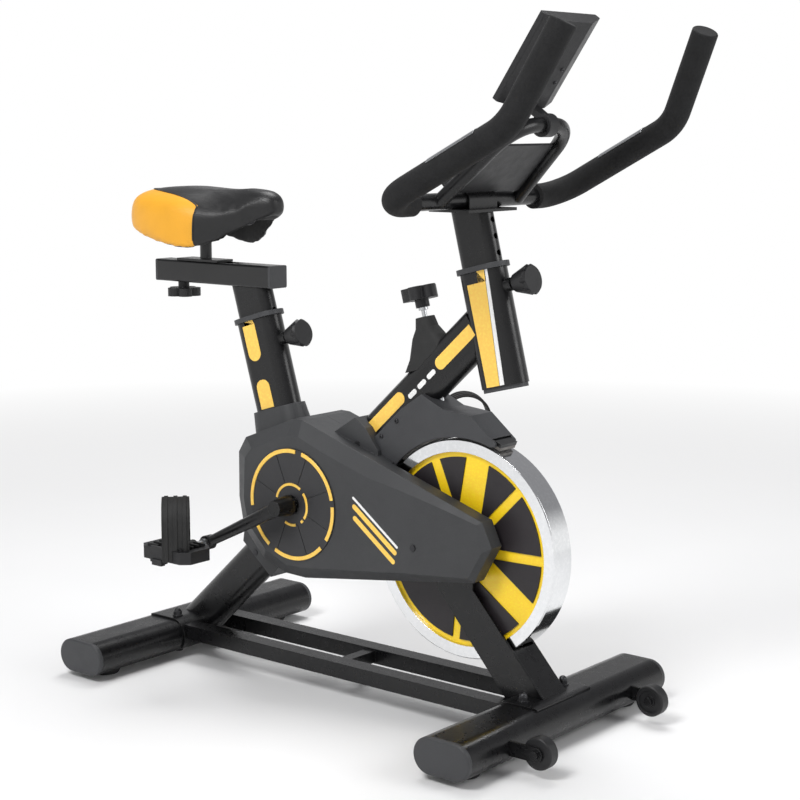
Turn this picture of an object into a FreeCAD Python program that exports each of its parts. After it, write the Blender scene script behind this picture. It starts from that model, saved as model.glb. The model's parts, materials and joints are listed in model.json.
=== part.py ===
import FreeCAD, Part
import math
import os
from FreeCAD import Vector as V

# Exercise bike with a friction-braked flywheel in front and a belt drive on its right side.
# +X points to the handlebar, +Y to the rider's left, +Z up, and the feet stand on z = 0.
# Stations along X are counted from the middle of the wheelbase, and finish() moves
# everything so that the origin is under the middle of the whole bike.

# ---- driving dimensions, in mm --------------------------------------------------------
origin_x = 43.5             # the middle of the bike's box, in front of the middle of the base
wheelbase = 762.0           # between the two floor tubes
base_width = 520.0          # length of each floor tube over its end caps
floor_tube_l = 100.0        # floor tube section, along X
floor_tube_h = 55.0         # floor tube section, along Z
tube_wall = 2.0
cap_thick = 8.0             # visible part of an end cap
foot_h = 10.0               # rubber foot under a floor tube
foot_r = 24.0
foot_y = 204.0
rail_w, rail_h = 30.0, 25.0             # base rails
rail_y = 48.5                           # centre of each rail from the middle
plate_t = 3.0                           # saddle plates over the floor tubes
saddle_w = 140.0
main_a, main_b = 70.0, 36.0             # main tube oval, in its own plane and along Y
main_angle = 42.5                       # rise of the main tube
main_x, main_z = -70.0, 314.4           # a point on the main tube's axis
crank_x, crank_z = -70.0, 308.5         # crank axis
crank_len = 170.0
crank_angle = 27.0                      # left crank above the forward horizontal
seat_a, seat_b = 88.0, 42.0             # seat tube oval
seat_tilt = 16.6                        # seat tube leans back by this
seat_foot_x, seat_foot_z = -112.5, 275.4
seat_tube_len = 331.0
head_a, head_b = 80.0, 40.0             # head tube oval
head_tilt = 14.1
head_foot_x, head_foot_z = 299.4, 527.9
head_tube_len = 175.0
sleeve_t = 3.0                          # plastic sleeves between the sliding tubes
slide_gap = 0.05                        # sliding fit on each side
collar_h, collar_over = 8.0, 4.5        # sleeve collar above a tube
seat_post_len = 287.0
seat_post_show = 48.0                   # post between the collar and the beam
bar_post_len = 256.0
bar_post_top = 265.5                    # post top above the head tube's foot
post_hole_r, post_hole_pitch = 4.5, 25.0
beam_w, beam_h, beam_len = 40.0, 37.0, 262.0
beam_front_x = -168.0
wheel_x, wheel_z = 236.9, 271.7         # flywheel axle
wheel_r, wheel_t = 170.2, 45.2
rim_inner_r = wheel_r - 19.2
fork_y, fork_t = wheel_t / 2 + 7.4, 4.0     # outer face of the fork plates, and their thickness
cover_y = 72.0                          # outer face of a side cover
cover_wall = 3.0
clear = 0.3                             # between parts that pass each other
axle_r = 7.5
bearing_out, bearing_w = 14.0, 10.0
big_pulley_r, small_pulley_r = 88.0, 28.0
belt_y, belt_w, belt_t = 52.0, 12.0, 3.0
bar_r, grip_r = 12.5, 19.5              # handlebar tube and foam grip
brake_tilt = 14.7                       # brake rod leans back, in line with the axle


# ---- small helpers --------------------------------------------------------------------
def box(x0, x1, y0, y1, z0, z1):
    return Part.makeBox(x1 - x0, y1 - y0, z1 - z0, V(x0, y0, z0))


def cyl(r, h, base, axis):
    return Part.makeCylinder(r, h, V(*base), V(*axis))


def cyl_y(r, x, z, y0, y1):
    return Part.makeCylinder(r, y1 - y0, V(x, y0, z), V(0, 1, 0))


def cone_y(r0, r1, x, z, y0, y1):
    """Cone along Y from radius r0 at y0 to radius r1 at y1."""
    return Part.makeCone(r0, r1, y1 - y0, V(x, y0, z), V(0, 1, 0))


def ring_y(r_out, r_in, x, z, y0, y1):
    return cyl_y(r_out, x, z, y0, y1).cut(cyl_y(r_in, x, z, y0 - 1, y1 + 1))


def prism_y(points, y0, y1):
    """Extrude an (x, z) outline from y0 to y1."""
    corners = [V(x, y0, z) for x, z in points]
    face = Part.Face(Part.makePolygon(corners + corners[:1]))
    return face.extrude(V(0, y1 - y0, 0))


def fuse(shapes):
    first = shapes[0]
    return first.multiFuse(shapes[1:]).removeSplitter() if len(shapes) > 1 else first


def mirrored(shape):
    return shape.mirror(V(0, 0, 0), V(0, 1, 0))


def both_sides(shape):
    return [shape, mirrored(shape)]


def stadium_face(a, b):
    """Oval of length a along X and height b along Y, centred on the origin."""
    r, s = b / 2, (a - b) / 2
    edges = [
        Part.LineSegment(V(-s, -r, 0), V(s, -r, 0)).toShape(),
        Part.Arc(V(s, -r, 0), V(s + r, 0, 0), V(s, r, 0)).toShape(),
        Part.LineSegment(V(s, r, 0), V(-s, r, 0)).toShape(),
        Part.Arc(V(-s, r, 0), V(-s - r, 0, 0), V(-s, -r, 0)).toShape(),
    ]
    return Part.Face(Part.Wire(edges))


def lean(shape, foot, tilt):
    """Stand a shape made along +Z on foot, leaning back by tilt degrees."""
    out = shape.copy()
    out.rotate(V(0, 0, 0), V(0, 1, 0), -tilt)
    out.translate(V(foot[0], 0, foot[1]))
    return out


def oval_bar(a, b, z0, z1):
    bar = stadium_face(a, b)
    bar.translate(V(0, 0, z0))
    return bar.extrude(V(0, 0, z1 - z0))


def oval_tube(a, b, wall, z0, z1):
    return oval_bar(a, b, z0, z1).cut(oval_bar(a - 2 * wall, b - 2 * wall, z0 - 1, z1 + 1))


def floor_oval(x, grow, y0, y1):
    """Floor tube outline, grown by grow, between y0 and y1."""
    bar = stadium_face(floor_tube_l + 2 * grow, floor_tube_h + 2 * grow)
    bar.rotate(V(0, 0, 0), V(1, 0, 0), 90)
    bar.translate(V(x, y1, foot_h + floor_tube_h / 2))
    return bar.extrude(V(0, y0 - y1, 0))


def rounded_path(points, radii):
    """Straight runs through the points, with tangent arcs of the radii at the inner ones."""
    edges = []
    start = V(*points[0])
    for i in range(1, len(points) - 1):
        p0, p1, p2 = V(*points[i - 1]), V(*points[i]), V(*points[i + 1])
        d0, d1 = (p0 - p1).normalize(), (p2 - p1).normalize()
        half = d0.getAngle(d1) / 2
        cut = radii[i - 1] / math.tan(half)
        a, b = p1 + d0 * cut, p1 + d1 * cut
        middle = p1 + (d0 + d1).normalize() * (radii[i - 1] / math.sin(half) - radii[i - 1])
        edges.append(Part.LineSegment(start, a).toShape())
        edges.append(Part.Arc(a, middle, b).toShape())
        start = b
    edges.append(Part.LineSegment(start, V(*points[-1])).toShape())
    return Part.Wire(edges)


def pipe(path, radius):
    first = path.OrderedEdges[0]
    tangent = first.tangentAt(first.FirstParameter)
    circle = Part.Wire(Part.makeCircle(radius, path.OrderedVertexes[0].Point, tangent))
    return path.makePipeShell([circle], True, False)


nodes = {}


def put(name, *shapes):
    nodes[name] = list(shapes)


# ---- floor tubes, feet, rails ---------------------------------------------------------
rear_x, front_x = -wheelbase / 2, wheelbase / 2
half_w = base_width / 2
tube_mid_z = foot_h + floor_tube_h / 2
tube_top_z = foot_h + floor_tube_h
bolt_r = 4.0
saddle_bolt_y = 52.0


def floor_tube(x):
    body = floor_oval(x, 0, -half_w + cap_thick, half_w - cap_thick)
    body = body.cut(floor_oval(x, -tube_wall, -half_w, half_w))
    for y in (-saddle_bolt_y, saddle_bolt_y):
        body = body.cut(cyl(bolt_r + 0.5, floor_tube_h * 2, (bolt_x(x), y, 0), (0, 0, 1)))
    for y in (-foot_y, foot_y):
        body = body.cut(cyl(foot_stud_r, foot_h + 2 * tube_wall, (x, y, 0), (0, 0, 1)))
    return body


def bolt_x(x):
    """The saddle bolts stand a little towards the middle of the bike."""
    return x - math.copysign(7.0, x) if x > 0 else x + 17.0


foot_stud_r = 5.0


def end_cap(x, side):
    """Cap with a plug inside the tube, for the end at side * half_w."""
    plug_len = 22.0
    outer = floor_oval(x, 0, half_w - cap_thick, half_w)
    edges = [e for e in outer.Edges if abs(e.CenterOfMass.y - half_w) < 0.1]
    outer = outer.makeFillet(3.0, edges)
    plug = floor_oval(x, -tube_wall, half_w - cap_thick - plug_len, half_w - cap_thick)
    plug = plug.cut(floor_oval(x, -tube_wall - 3.0, 0, half_w - cap_thick - 2.0))
    cap = outer.fuse(plug).removeSplitter()
    return cap if side > 0 else mirrored(cap)


def foot(x, y):
    """Rubber pad with a plug that snaps into the tube's wall."""
    pad = Part.makeCone(foot_r - 3.0, foot_r, foot_h * 0.5, V(x, y, 0), V(0, 0, 1))
    collar = cyl(foot_r, foot_h * 0.5, (x, y, foot_h * 0.5), (0, 0, 1))
    plug = cyl(foot_stud_r, tube_wall + 4.0, (x, y, foot_h), (0, 0, 1))
    return fuse([pad, collar, plug])


def saddle_plate(x):
    """Plate bent over the top and the inner side of a floor tube."""
    half = saddle_w / 2
    shell = floor_oval(x, plate_t, -half, half).cut(floor_oval(x, 0, -half - 1, half + 1))
    inward = -1 if x > 0 else 1
    outer_edge = x - inward * 31.0
    keep_x = sorted((outer_edge, x + inward * floor_tube_l))
    shell = shell.common(box(keep_x[0], keep_x[1], -half, half, foot_h + 8.0, tube_top_z + 20))
    for y in (-saddle_bolt_y, saddle_bolt_y):
        shell = shell.cut(cyl(bolt_r + 0.5, 200, (bolt_x(x), y, 0), (0, 0, 1)))
    return shell


def saddle_block(x):
    """Everything that a floor tube and its plate fill, for cutting what stands on them."""
    return floor_oval(x, plate_t, -saddle_w / 2 + 1, saddle_w / 2 - 1)


def base_bolt(x, y):
    """Carriage bolt through tube and plate, with a washer and a domed nut on top."""
    bx = bolt_x(x)
    z0, z1 = foot_h - 3.0, tube_top_z + plate_t
    shank = cyl(bolt_r, z1 - z0, (bx, y, z0), (0, 0, 1))
    head = Part.makeSphere(9.0, V(bx, y, foot_h), V(0, 0, 1), -90, 0, 360)
    head = head.common(box(bx - 10, bx + 10, y - 10, y + 10, foot_h - 4.0, foot_h))
    washer = cyl(9.0, 1.6, (bx, y, z1), (0, 0, 1))
    hexagon = [(bx + 7.5 * math.cos(math.radians(a)), y + 7.5 * math.sin(math.radians(a)))
               for a in range(0, 361, 60)]
    face = Part.Face(Part.makePolygon([V(px, py, z1 + 1.6) for px, py in hexagon]))
    nut = face.extrude(V(0, 0, 6.0))
    dome = Part.makeSphere(6.3, V(bx, y, z1 + 7.6), V(0, 0, 1), 0, 90, 360)
    return fuse([shank, head, washer, nut, dome])


put("rear_stabiliser", floor_tube(rear_x))
put("front_stabiliser", floor_tube(front_x))
put("stabiliser_end_caps", *[end_cap(x, s) for x in (rear_x, front_x) for s in (-1, 1)])
put("stabiliser_feet", *[foot(x, y) for x in (rear_x, front_x) for y in (-foot_y, foot_y)])
put("base_saddle_plates", saddle_plate(rear_x), saddle_plate(front_x))
put("base_bolts", *[base_bolt(x, y) for x in (rear_x, front_x)
                    for y in (-saddle_bolt_y, saddle_bolt_y)])

rail_z = 34.0


def base_rail(side):
    y0, y1 = sorted((side * (rail_y - rail_w / 2), side * (rail_y + rail_w / 2)))
    rail = box(rear_x, front_x, y0, y1, rail_z, rail_z + rail_h)
    hollow = box(rear_x, front_x, y0 + tube_wall, y1 - tube_wall,
                 rail_z + tube_wall, rail_z + rail_h - tube_wall)
    return rail.cut(hollow).cut(saddle_block(rear_x)).cut(saddle_block(front_x))


brace_x, brace_w, brace_h = 4.0, 20.0, 20.0
brace_half = rail_y - rail_w / 2
cross_brace = box(brace_x - brace_w / 2, brace_x + brace_w / 2, -brace_half, brace_half,
                  rail_z + 2.0, rail_z + 2.0 + brace_h)
put("base_rails", base_rail(-1), base_rail(1), cross_brace)

# ---- frame tubes ----------------------------------------------------------------------
main_dir = V(math.cos(math.radians(main_angle)), 0, math.sin(math.radians(main_angle)))


def main_bar(a, b, s0, s1):
    """Oval bar along the main tube's axis, s counted from the crank's station."""
    bar = oval_bar(a, b, s0, s1)
    bar.rotate(V(0, 0, 0), V(0, 1, 0), 90 - main_angle)
    bar.translate(V(main_x, 0, main_z))
    return bar


def seat_bar(a, b, s0, s1):
    return lean(oval_bar(a, b, s0, s1), (seat_foot_x, seat_foot_z), seat_tilt)


def head_bar(a, b, s0, s1):
    return lean(oval_bar(a, b, s0, s1), (head_foot_x, head_foot_z), head_tilt)


def lean_dirs(tilt):
    t = math.radians(tilt)
    return V(-math.sin(t), 0, math.cos(t)), V(math.cos(t), 0, math.sin(t))


seat_up, seat_fwd = lean_dirs(seat_tilt)
head_up, head_fwd = lean_dirs(head_tilt)
brake_up, brake_fwd = lean_dirs(brake_tilt)
seat_foot = V(seat_foot_x, 0, seat_foot_z)
head_foot = V(head_foot_x, 0, head_foot_z)
wheel_c = V(wheel_x, 0, wheel_z)

bb_r_out, bb_r_in, bb_half = 20.0, 17.0, 34.0
rod_r = 4.0
rod_hole_r = 7.0
main_lower, main_upper = -420.0, 440.0
main_tube = main_bar(main_a, main_b, main_lower, main_upper)
main_tube = main_tube.cut(main_bar(main_a - 2 * tube_wall, main_b - 2 * tube_wall,
                                   main_lower - 1, main_upper + 1))
main_tube = main_tube.cut(saddle_block(rear_x))
main_tube = main_tube.cut(box(-600, 0, -100, 100, -200, 46.0))
main_tube = main_tube.cut(head_bar(head_a, head_b, -40, head_tube_len + 60))
main_tube = main_tube.cut(box(head_foot_x, 900, -100, 100, 0, 1200))
main_tube = main_tube.cut(cyl_y(bb_r_out, crank_x, crank_z, -60, 60))
rod_hole = Part.makeCylinder(rod_hole_r, 420, wheel_c + brake_up * 130, brake_up)
main_tube = main_tube.cut(rod_hole)
put("main_tube", max(main_tube.Solids, key=lambda s: s.Volume),
    ring_y(bb_r_out, bb_r_in, crank_x, crank_z, -bb_half, bb_half))


pin_boss_r, pin_r = 10.0, 4.0
seat_pin_s = seat_tube_len - 42.0       # pull pin's place along the seat tube
head_pin_s = head_tube_len - 29.0


def pin_line(foot_pt, up, s):
    return foot_pt + up * s


def tube_with_boss(bar, foot_pt, up, fwd, a, b, length, pin_s):
    """Oval frame tube with a welded boss in front for the pull pin."""
    tube = bar(a, b, 0, length)
    boss = Part.makeCylinder(pin_boss_r, 12.0, pin_line(foot_pt, up, pin_s) + fwd * (a / 2 - 3.0),
                             fwd)
    tube = tube.fuse(boss)
    tube = tube.cut(bar(a - 2 * tube_wall, b - 2 * tube_wall, -1, length + 1))
    tube = tube.cut(Part.makeCylinder(pin_r + slide_gap, a, pin_line(foot_pt, up, pin_s), fwd))
    return tube.removeSplitter()


seat_tube = tube_with_boss(seat_bar, seat_foot, seat_up, seat_fwd, seat_a, seat_b,
                           seat_tube_len, seat_pin_s)
seat_tube = seat_tube.cut(main_bar(main_a, main_b, -300, 300))
seat_tube = seat_tube.cut(cyl_y(bb_r_out, crank_x, crank_z, -60, 60))
put("seat_tube", max(seat_tube.Solids, key=lambda s: s.CenterOfMass.z))
head_tube = tube_with_boss(head_bar, head_foot, head_up, head_fwd, head_a, head_b,
                           head_tube_len, head_pin_s)
put("head_tube", head_tube)


def sleeve(bar, foot_pt, up, fwd, a, b, length, depth, pin_s):
    """Plastic sleeve inside a tube's top, with a collar over the tube's edge."""
    inner_a, inner_b = a - 2 * tube_wall, b - 2 * tube_wall
    body = bar(inner_a, inner_b, length - depth, length)
    body = body.fuse(bar(a + 2 * collar_over, b + 2 * collar_over, length, length + collar_h))
    body = body.cut(bar(inner_a - 2 * sleeve_t, inner_b - 2 * sleeve_t,
                        length - depth - 1, length + collar_h + 1))
    body = body.cut(Part.makeCylinder(pin_r + 0.5, a, pin_line(foot_pt, up, pin_s), fwd))
    return body.removeSplitter()


sleeve_depth = 70.0
plug_drop = 6.0
head_plug = head_bar(head_a - 2 * tube_wall, head_b - 2 * tube_wall, -plug_drop, 4.0)
put("tube_sleeves",
    sleeve(seat_bar, seat_foot, seat_up, seat_fwd, seat_a, seat_b, seat_tube_len,
           sleeve_depth, seat_pin_s),
    sleeve(head_bar, head_foot, head_up, head_fwd, head_a, head_b, head_tube_len,
           sleeve_depth, head_pin_s),
    head_plug)

# ---- fork and stays -------------------------------------------------------------------
fork_lobe_r = 26.0
fork_low_rear, fork_low_front = (329.0, 52.0), (402.0, 60.0)
fork_leg = [fork_low_rear, fork_low_front, (262.0, 214.0), (236.0, 240.0), (196.5, 203.0)]
fork_top = [(262.0, 214.0), (wheel_x + fork_lobe_r, wheel_z), (wheel_x, wheel_z + fork_lobe_r),
            (196.0, 300.0), (180.0, 258.0), (196.5, 203.0)]


def fork_plate(side):
    y0, y1 = sorted((side * (fork_y - fork_t), side * fork_y))
    h0, h1 = sorted((side * (fork_y - fork_t), side * (fork_y - fork_t + bearing_w)))
    lobe = cyl_y(fork_lobe_r, wheel_x, wheel_z, y0, y1)
    housing = cyl_y(bearing_out + 4.0, wheel_x, wheel_z, h0, h1)
    plate = fuse([prism_y(fork_leg, y0, y1), prism_y(fork_top, y0, y1), lobe, housing])
    plate = plate.cut(saddle_block(front_x))
    return plate.cut(cyl_y(bearing_out, wheel_x, wheel_z, -60, 60))


box_top_z = 131.0                       # the fork is a closed box below the flywheel
front_slope = (262.0 - 402.0) / (214.0 - 60.0)


def fork_wall(x_low, z_low, slope, z_high):
    """Wall between the fork plates, along their front or rear edge."""
    dz = z_high - z_low
    x_high = x_low + slope * dz
    step = fork_t * math.copysign(1.25, slope)
    wall = prism_y([(x_low, z_low), (x_high, z_high), (x_high + step, z_high),
                    (x_low + step, z_low)], -fork_y + fork_t, fork_y - fork_t)
    wheel_room = cyl_y(wheel_r + 3.0, wheel_x, wheel_z, -fork_y, fork_y)
    return wall.cut(saddle_block(front_x)).cut(wheel_room)


rear_slope = (196.5 - 329.0) / (203.0 - 52.0)
fork_front_wall = fork_wall(402.0, 60.0, front_slope, box_top_z)
fork_rear_wall = fork_wall(329.0 + 1.25 * fork_t, 52.0, rear_slope, 100.0)
stay = [(crank_x + 30.0, 330.0), (crank_x + 30.0, 300.0), (178.0, 270.0), (194.0, 296.0)]


def stay_plate(side):
    """Flat stay from the main tube to the fork's head, beside the flywheel."""
    y0, y1 = sorted((side * (fork_y - fork_t), side * fork_y))
    bar = prism_y(stay, y0, y1)
    spacer = box(crank_x + 26.0, crank_x + 46.0, main_b / 2 - 8, fork_y - fork_t, 300.0, 330.0)
    spacer = spacer.cut(main_bar(main_a, main_b, -300, 300))
    spacer = spacer if side > 0 else mirrored(spacer)
    plate = bar.fuse(spacer).cut(fork_plate(side)).cut(cyl_y(bb_r_out, crank_x, crank_z, -60, 60))
    return max(plate.removeSplitter().Solids, key=lambda s: s.Volume)


put("fork_plates", fork_plate(-1), fork_plate(1), fork_front_wall, fork_rear_wall,
    stay_plate(-1), stay_plate(1))

# ---- flywheel -------------------------------------------------------------------------
half_t = wheel_t / 2
hub_r, hub_half = 24.0, fork_y - fork_t - 2.0
web_half = 17.0


def spin_y(profile, x, z):
    """Turn an (r, y) outline around the axis along Y through x, z."""
    corners = [V(x + r, y, z) for r, y in profile]
    face = Part.Face(Part.makePolygon(corners + corners[:1]))
    return face.revolve(V(x, 0, z), V(0, 1, 0), 360)


rim_chamfer = 1.5
rim = spin_y([(rim_inner_r, -half_t), (wheel_r - rim_chamfer, -half_t),
              (wheel_r, -half_t + rim_chamfer), (wheel_r, half_t - rim_chamfer),
              (wheel_r - rim_chamfer, half_t), (rim_inner_r, half_t)], wheel_x, wheel_z)
web = spin_y([(axle_r, -hub_half), (hub_r, -hub_half), (hub_r + 14.0, -web_half),
              (rim_inner_r, -web_half), (rim_inner_r, web_half), (hub_r + 14.0, web_half),
              (hub_r, hub_half), (axle_r, hub_half)], wheel_x, wheel_z)
panel_out_r, panel_in_r = 143.0, 42.0
panel_deep = 2.0
# each spoke's direction in degrees above the forward horizontal, and half its width
spokes = ((80.0, 22.0), (45.0, 8.0), (1.0, 8.0), (-35.0, 22.0), (-96.0, 7.0), (-160.0, 22.0),
          (-195.0, 8.0), (-247.0, 9.0))


def spoke_bar(angle, half, y0, y1):
    """Straight bar from the wheel's centre outwards, for cutting between two panels."""
    bar = box(0, wheel_r, y0, y1, -half, half)
    bar.rotate(V(0, 0, 0), V(0, 1, 0), -angle)
    bar.translate(V(wheel_x, 0, wheel_z))
    return bar


def panels():
    """Dark sectors between the spokes, on both faces of the web."""
    out = []
    for side in (-1, 1):
        y0, y1 = sorted((side * web_half, side * (web_half + panel_deep)))
        disc = ring_y(panel_out_r, panel_in_r, wheel_x, wheel_z, y0, y1)
        for angle, half in spokes:
            disc = disc.cut(spoke_bar(angle, half, y0 - 1, y1 + 1))
        out += disc.Solids
    return out


put("flywheel_rim", rim)
put("flywheel_web", web)
put("flywheel_panels", *panels())
bearing_y = fork_y - fork_t             # inner face of each bearing
nut_y = bearing_y + bearing_w + 0.6
axle = cyl_y(axle_r, wheel_x, wheel_z, -belt_y - belt_w / 2 - 2.0, nut_y + 6.0)
axle = axle.fuse(cyl_y(axle_r + 4.5, wheel_x, wheel_z, nut_y, nut_y + 5.0)).removeSplitter()
bearing = ring_y(bearing_out, axle_r + slide_gap, wheel_x, wheel_z, bearing_y,
                 bearing_y + bearing_w)

# ---- belt drive -----------------------------------------------------------------------
belt_y0, belt_y1 = -belt_y - belt_w / 2, -belt_y + belt_w / 2
spindle_r, spindle_half = 8.0, 114.0
flange_t, flange_h = 2.0, 2.5


def pulley(x, z, r, bore):
    """Belt pulley with a low flange on each side of the belt."""
    body = cyl_y(r, x, z, belt_y0 - clear, belt_y1 + clear)
    for y in (belt_y0 - clear - flange_t, belt_y1 + clear):
        body = body.fuse(cyl_y(r + flange_h, x, z, y, y + flange_t))
    return body.removeSplitter().cut(cyl_y(bore, x, z, -100, 0))


big_pulley = pulley(crank_x, crank_z, big_pulley_r, spindle_r)
for i in range(5):
    a = math.radians(72.0 * i)
    big_pulley = big_pulley.cut(cyl_y(18.0, crank_x + 52.0 * math.cos(a),
                                      crank_z + 52.0 * math.sin(a), -100, 0))
put("drive_pulley", big_pulley)
put("flywheel_axle", axle, pulley(wheel_x, wheel_z, small_pulley_r, axle_r))


def belt_solid(grow, y0, y1):
    """The filled outline round both pulleys, grown by grow."""
    r1, r2 = big_pulley_r + grow, small_pulley_r + grow
    dx, dz = wheel_x - crank_x, wheel_z - crank_z
    along = math.atan2(dz, dx)
    spread = math.acos((r1 - r2) / math.hypot(dx, dz))
    corners = []
    for x, z, r, sign in ((crank_x, crank_z, r1, 1), (wheel_x, wheel_z, r2, 1),
                          (wheel_x, wheel_z, r2, -1), (crank_x, crank_z, r1, -1)):
        a = along + sign * spread
        corners.append((x + r * math.cos(a), z + r * math.sin(a)))
    return fuse([prism_y(corners, y0, y1), cyl_y(r1, crank_x, crank_z, y0, y1),
                 cyl_y(r2, wheel_x, wheel_z, y0, y1)])


put("drive_belt", belt_solid(clear + belt_t, belt_y0, belt_y1).cut(
    belt_solid(clear, belt_y0 - 1, belt_y1 + 1)))

# ---- cranks and pedals ----------------------------------------------------------------
spindle = cyl_y(spindle_r, crank_x, crank_z, -spindle_half, spindle_half)
bb_bearing = ring_y(bb_r_in, spindle_r + slide_gap, crank_x, crank_z, bb_half - 12.0, bb_half)
put("axle_bearings", *both_sides(bearing), *both_sides(bb_bearing))
crank_dir = (math.cos(math.radians(crank_angle)), math.sin(math.radians(crank_angle)))
pedal_x = crank_x + crank_len * crank_dir[0]        # left pedal; the right one is opposite
pedal_z = crank_z + crank_len * crank_dir[1]
pedal_r = 6.0                           # pedal spindle
pedal_mid, pedal_w, pedal_l, pedal_h = 186.0, 66.0, 110.0, 24.0


def opposite(shape):
    """Half a turn round the crank axis, and over to the other side of the bike."""
    out = mirrored(shape)
    out.rotate(V(crank_x, 0, crank_z), V(0, 1, 0), 180)
    return out


def crank_arm():
    """Left arm: a boss on the spindle, a tapered arm and an eye for the pedal."""
    boss = cone_y(17.0, 13.0, crank_x, crank_z, 82.0, 116.0)
    eye = cyl_y(12.0, pedal_x, pedal_z, 106.0, 122.0)
    start = V(crank_x, 102.0, crank_z)
    end = V(pedal_x, 114.0, pedal_z)
    arm = Part.makeCone(12.0, 8.5, (end - start).Length, start, end - start)
    arm = fuse([boss, arm, eye])
    arm = arm.cut(cyl_y(spindle_r, crank_x, crank_z, -200, spindle_half))
    return arm.cut(cyl_y(pedal_r, pedal_x, pedal_z, 0, 300))


left_arm = crank_arm()
put("crank_arms", left_arm, opposite(left_arm))
shoulder = cyl_y(8.5, pedal_x, pedal_z, 122.0, 128.0)
left_spindle = cyl_y(pedal_r, pedal_x, pedal_z, 108.0, pedal_mid + pedal_w / 2 - 6.0)
left_spindle = left_spindle.fuse(shoulder).removeSplitter()
put("crank_spindles", spindle, left_spindle, opposite(left_spindle))


def pedal(x, z):
    """Left pedal round its spindle, with a hub, two end bars and tread ridges on top."""
    y0, y1 = pedal_mid - pedal_w / 2, pedal_mid + pedal_w / 2
    h, low = pedal_l / 2, pedal_h / 2
    outline = [(-h, y0 + 12), (-h + 14, y0), (h - 14, y0), (h, y0 + 12),
               (h, y1 - 12), (h - 14, y1), (-h + 14, y1), (-h, y1 - 12)]
    corners = [V(x + px, py, z - low) for px, py in outline]
    body = Part.Face(Part.makePolygon(corners + corners[:1])).extrude(V(0, 0, pedal_h - 4.0))
    for side in (-1, 1):
        mid = x + side * 29.0
        body = body.cut(box(mid - 11.0, mid + 11.0, y0 + 10, y1 - 10, z - low - 1, z + low))
    top = z - low + pedal_h - 4.0
    for i in range(5):
        y = y0 + 8.0 + i * (pedal_w - 16.0) / 4
        body = body.fuse(box(x - h + 16, x - 15, y - 1.5, y + 1.5, z - low + 4.0, top + 4.0))
        body = body.fuse(box(x + 15, x + h - 16, y - 1.5, y + 1.5, z - low + 4.0, top + 4.0))
    body = body.fuse(cyl_y(11.0, x, z, y0 - 6.0, y1))
    return body.removeSplitter().cut(cyl_y(pedal_r + slide_gap, x, z, y0 - 10, y1 - 4.0))


strap_w, strap_t = 44.0, 3.0
strap_half, strap_top = 41.0, 88.0
strap_turn = 45.0                       # the strap crosses the foot at this angle


def strap_band(w, t, x, z):
    """Arched band of width w, at the angle of the strap, over the left pedal."""
    r = strap_half + t
    low, high = -pedal_h / 2 + 2.0, strap_top - strap_half
    outer = box(-r, r, -w / 2, w / 2, low, high).fuse(cyl_y(r, 0, high, -w / 2, w / 2))
    ri = strap_half - strap_t
    inner = box(-ri, ri, -w, w, low - 1, high).fuse(cyl_y(ri, 0, high, -w, w))
    band = outer.cut(inner)
    band.rotate(V(0, 0, 0), V(0, 0, 1), strap_turn)
    band.translate(V(x, pedal_mid, z))
    return band


def strap(x, z):
    """Toe strap with three ribs, fixed to the pedal's edges, and a buckle plate outside."""
    parts = [strap_band(strap_w, 0.0, x, z)]
    for offset in (-15.0, 0.0, 15.0):
        rib = strap_band(6.0, 1.6, x, z)
        a = math.radians(strap_turn)
        rib.translate(V(-offset * math.sin(a), offset * math.cos(a), 0))
        parts.append(rib)
    return fuse(parts)


def buckle(x, z):
    plate = box(x - 20.0, x + 14.0, pedal_mid + pedal_w / 2, pedal_mid + pedal_w / 2 + 6.0,
                z - 14.0, z + 12.0)
    tongue = box(x - 14.0, x + 8.0, pedal_mid + pedal_w / 2, pedal_mid + pedal_w / 2 + 8.5,
                 z - 18.0, z - 8.0)
    return plate.fuse(tongue).removeSplitter()


left_pedal = pedal(pedal_x, pedal_z)
left_buckle = buckle(pedal_x, pedal_z)
left_strap = strap(pedal_x, pedal_z).cut(left_pedal).cut(left_buckle)
left_strap = max(left_strap.Solids, key=lambda s: s.Volume)


def to_right(shape):
    """The right pedal is the left one's mirror image, half a turn of the crank away."""
    out = mirrored(shape)
    out.translate(V(-2 * (pedal_x - crank_x), 0, -2 * (pedal_z - crank_z)))
    return out


put("left_pedal", left_pedal, left_buckle)
put("right_pedal", to_right(left_pedal), to_right(left_buckle))
put("left_strap", left_strap)
put("right_strap", to_right(left_strap))

# ---- flywheel guard and brake ---------------------------------------------------------
guard_half = wheel_t / 2 + 4.4
guard_r = 174.0                         # underside of the guard, round the flywheel
pad_r, shoe_r, shoe_top = wheel_r + 3.0, wheel_r + 8.0, wheel_r + 14.0
shoe_half = 20.0
shoe_a0, shoe_a1 = 67.5, 134.0          # shoe's ends, in degrees above the forward horizontal


def wheel_point(r, degrees):
    a = math.radians(degrees)
    return (wheel_x + r * math.cos(a), wheel_z + r * math.sin(a))


def inset(points, d):
    """Move every side of an (x, z) outline inwards by d."""
    n = len(points)
    area = sum(points[i][0] * points[(i + 1) % n][1] - points[(i + 1) % n][0] * points[i][1]
               for i in range(n))
    sign = 1 if area > 0 else -1
    lines = []
    for i in range(n):
        (x0, z0), (x1, z1) = points[i], points[(i + 1) % n]
        size = math.hypot(x1 - x0, z1 - z0)
        nx, nz = -(z1 - z0) / size * sign, (x1 - x0) / size * sign
        lines.append((nx, nz, nx * x0 + nz * z0 + d))
    out = []
    for i in range(n):
        (a0, b0, c0), (a1, b1, c1) = lines[i - 1], lines[i]
        det = a0 * b1 - a1 * b0
        out.append(((c0 * b1 - c1 * b0) / det, (a0 * c1 - a1 * c0) / det))
    return out


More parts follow.
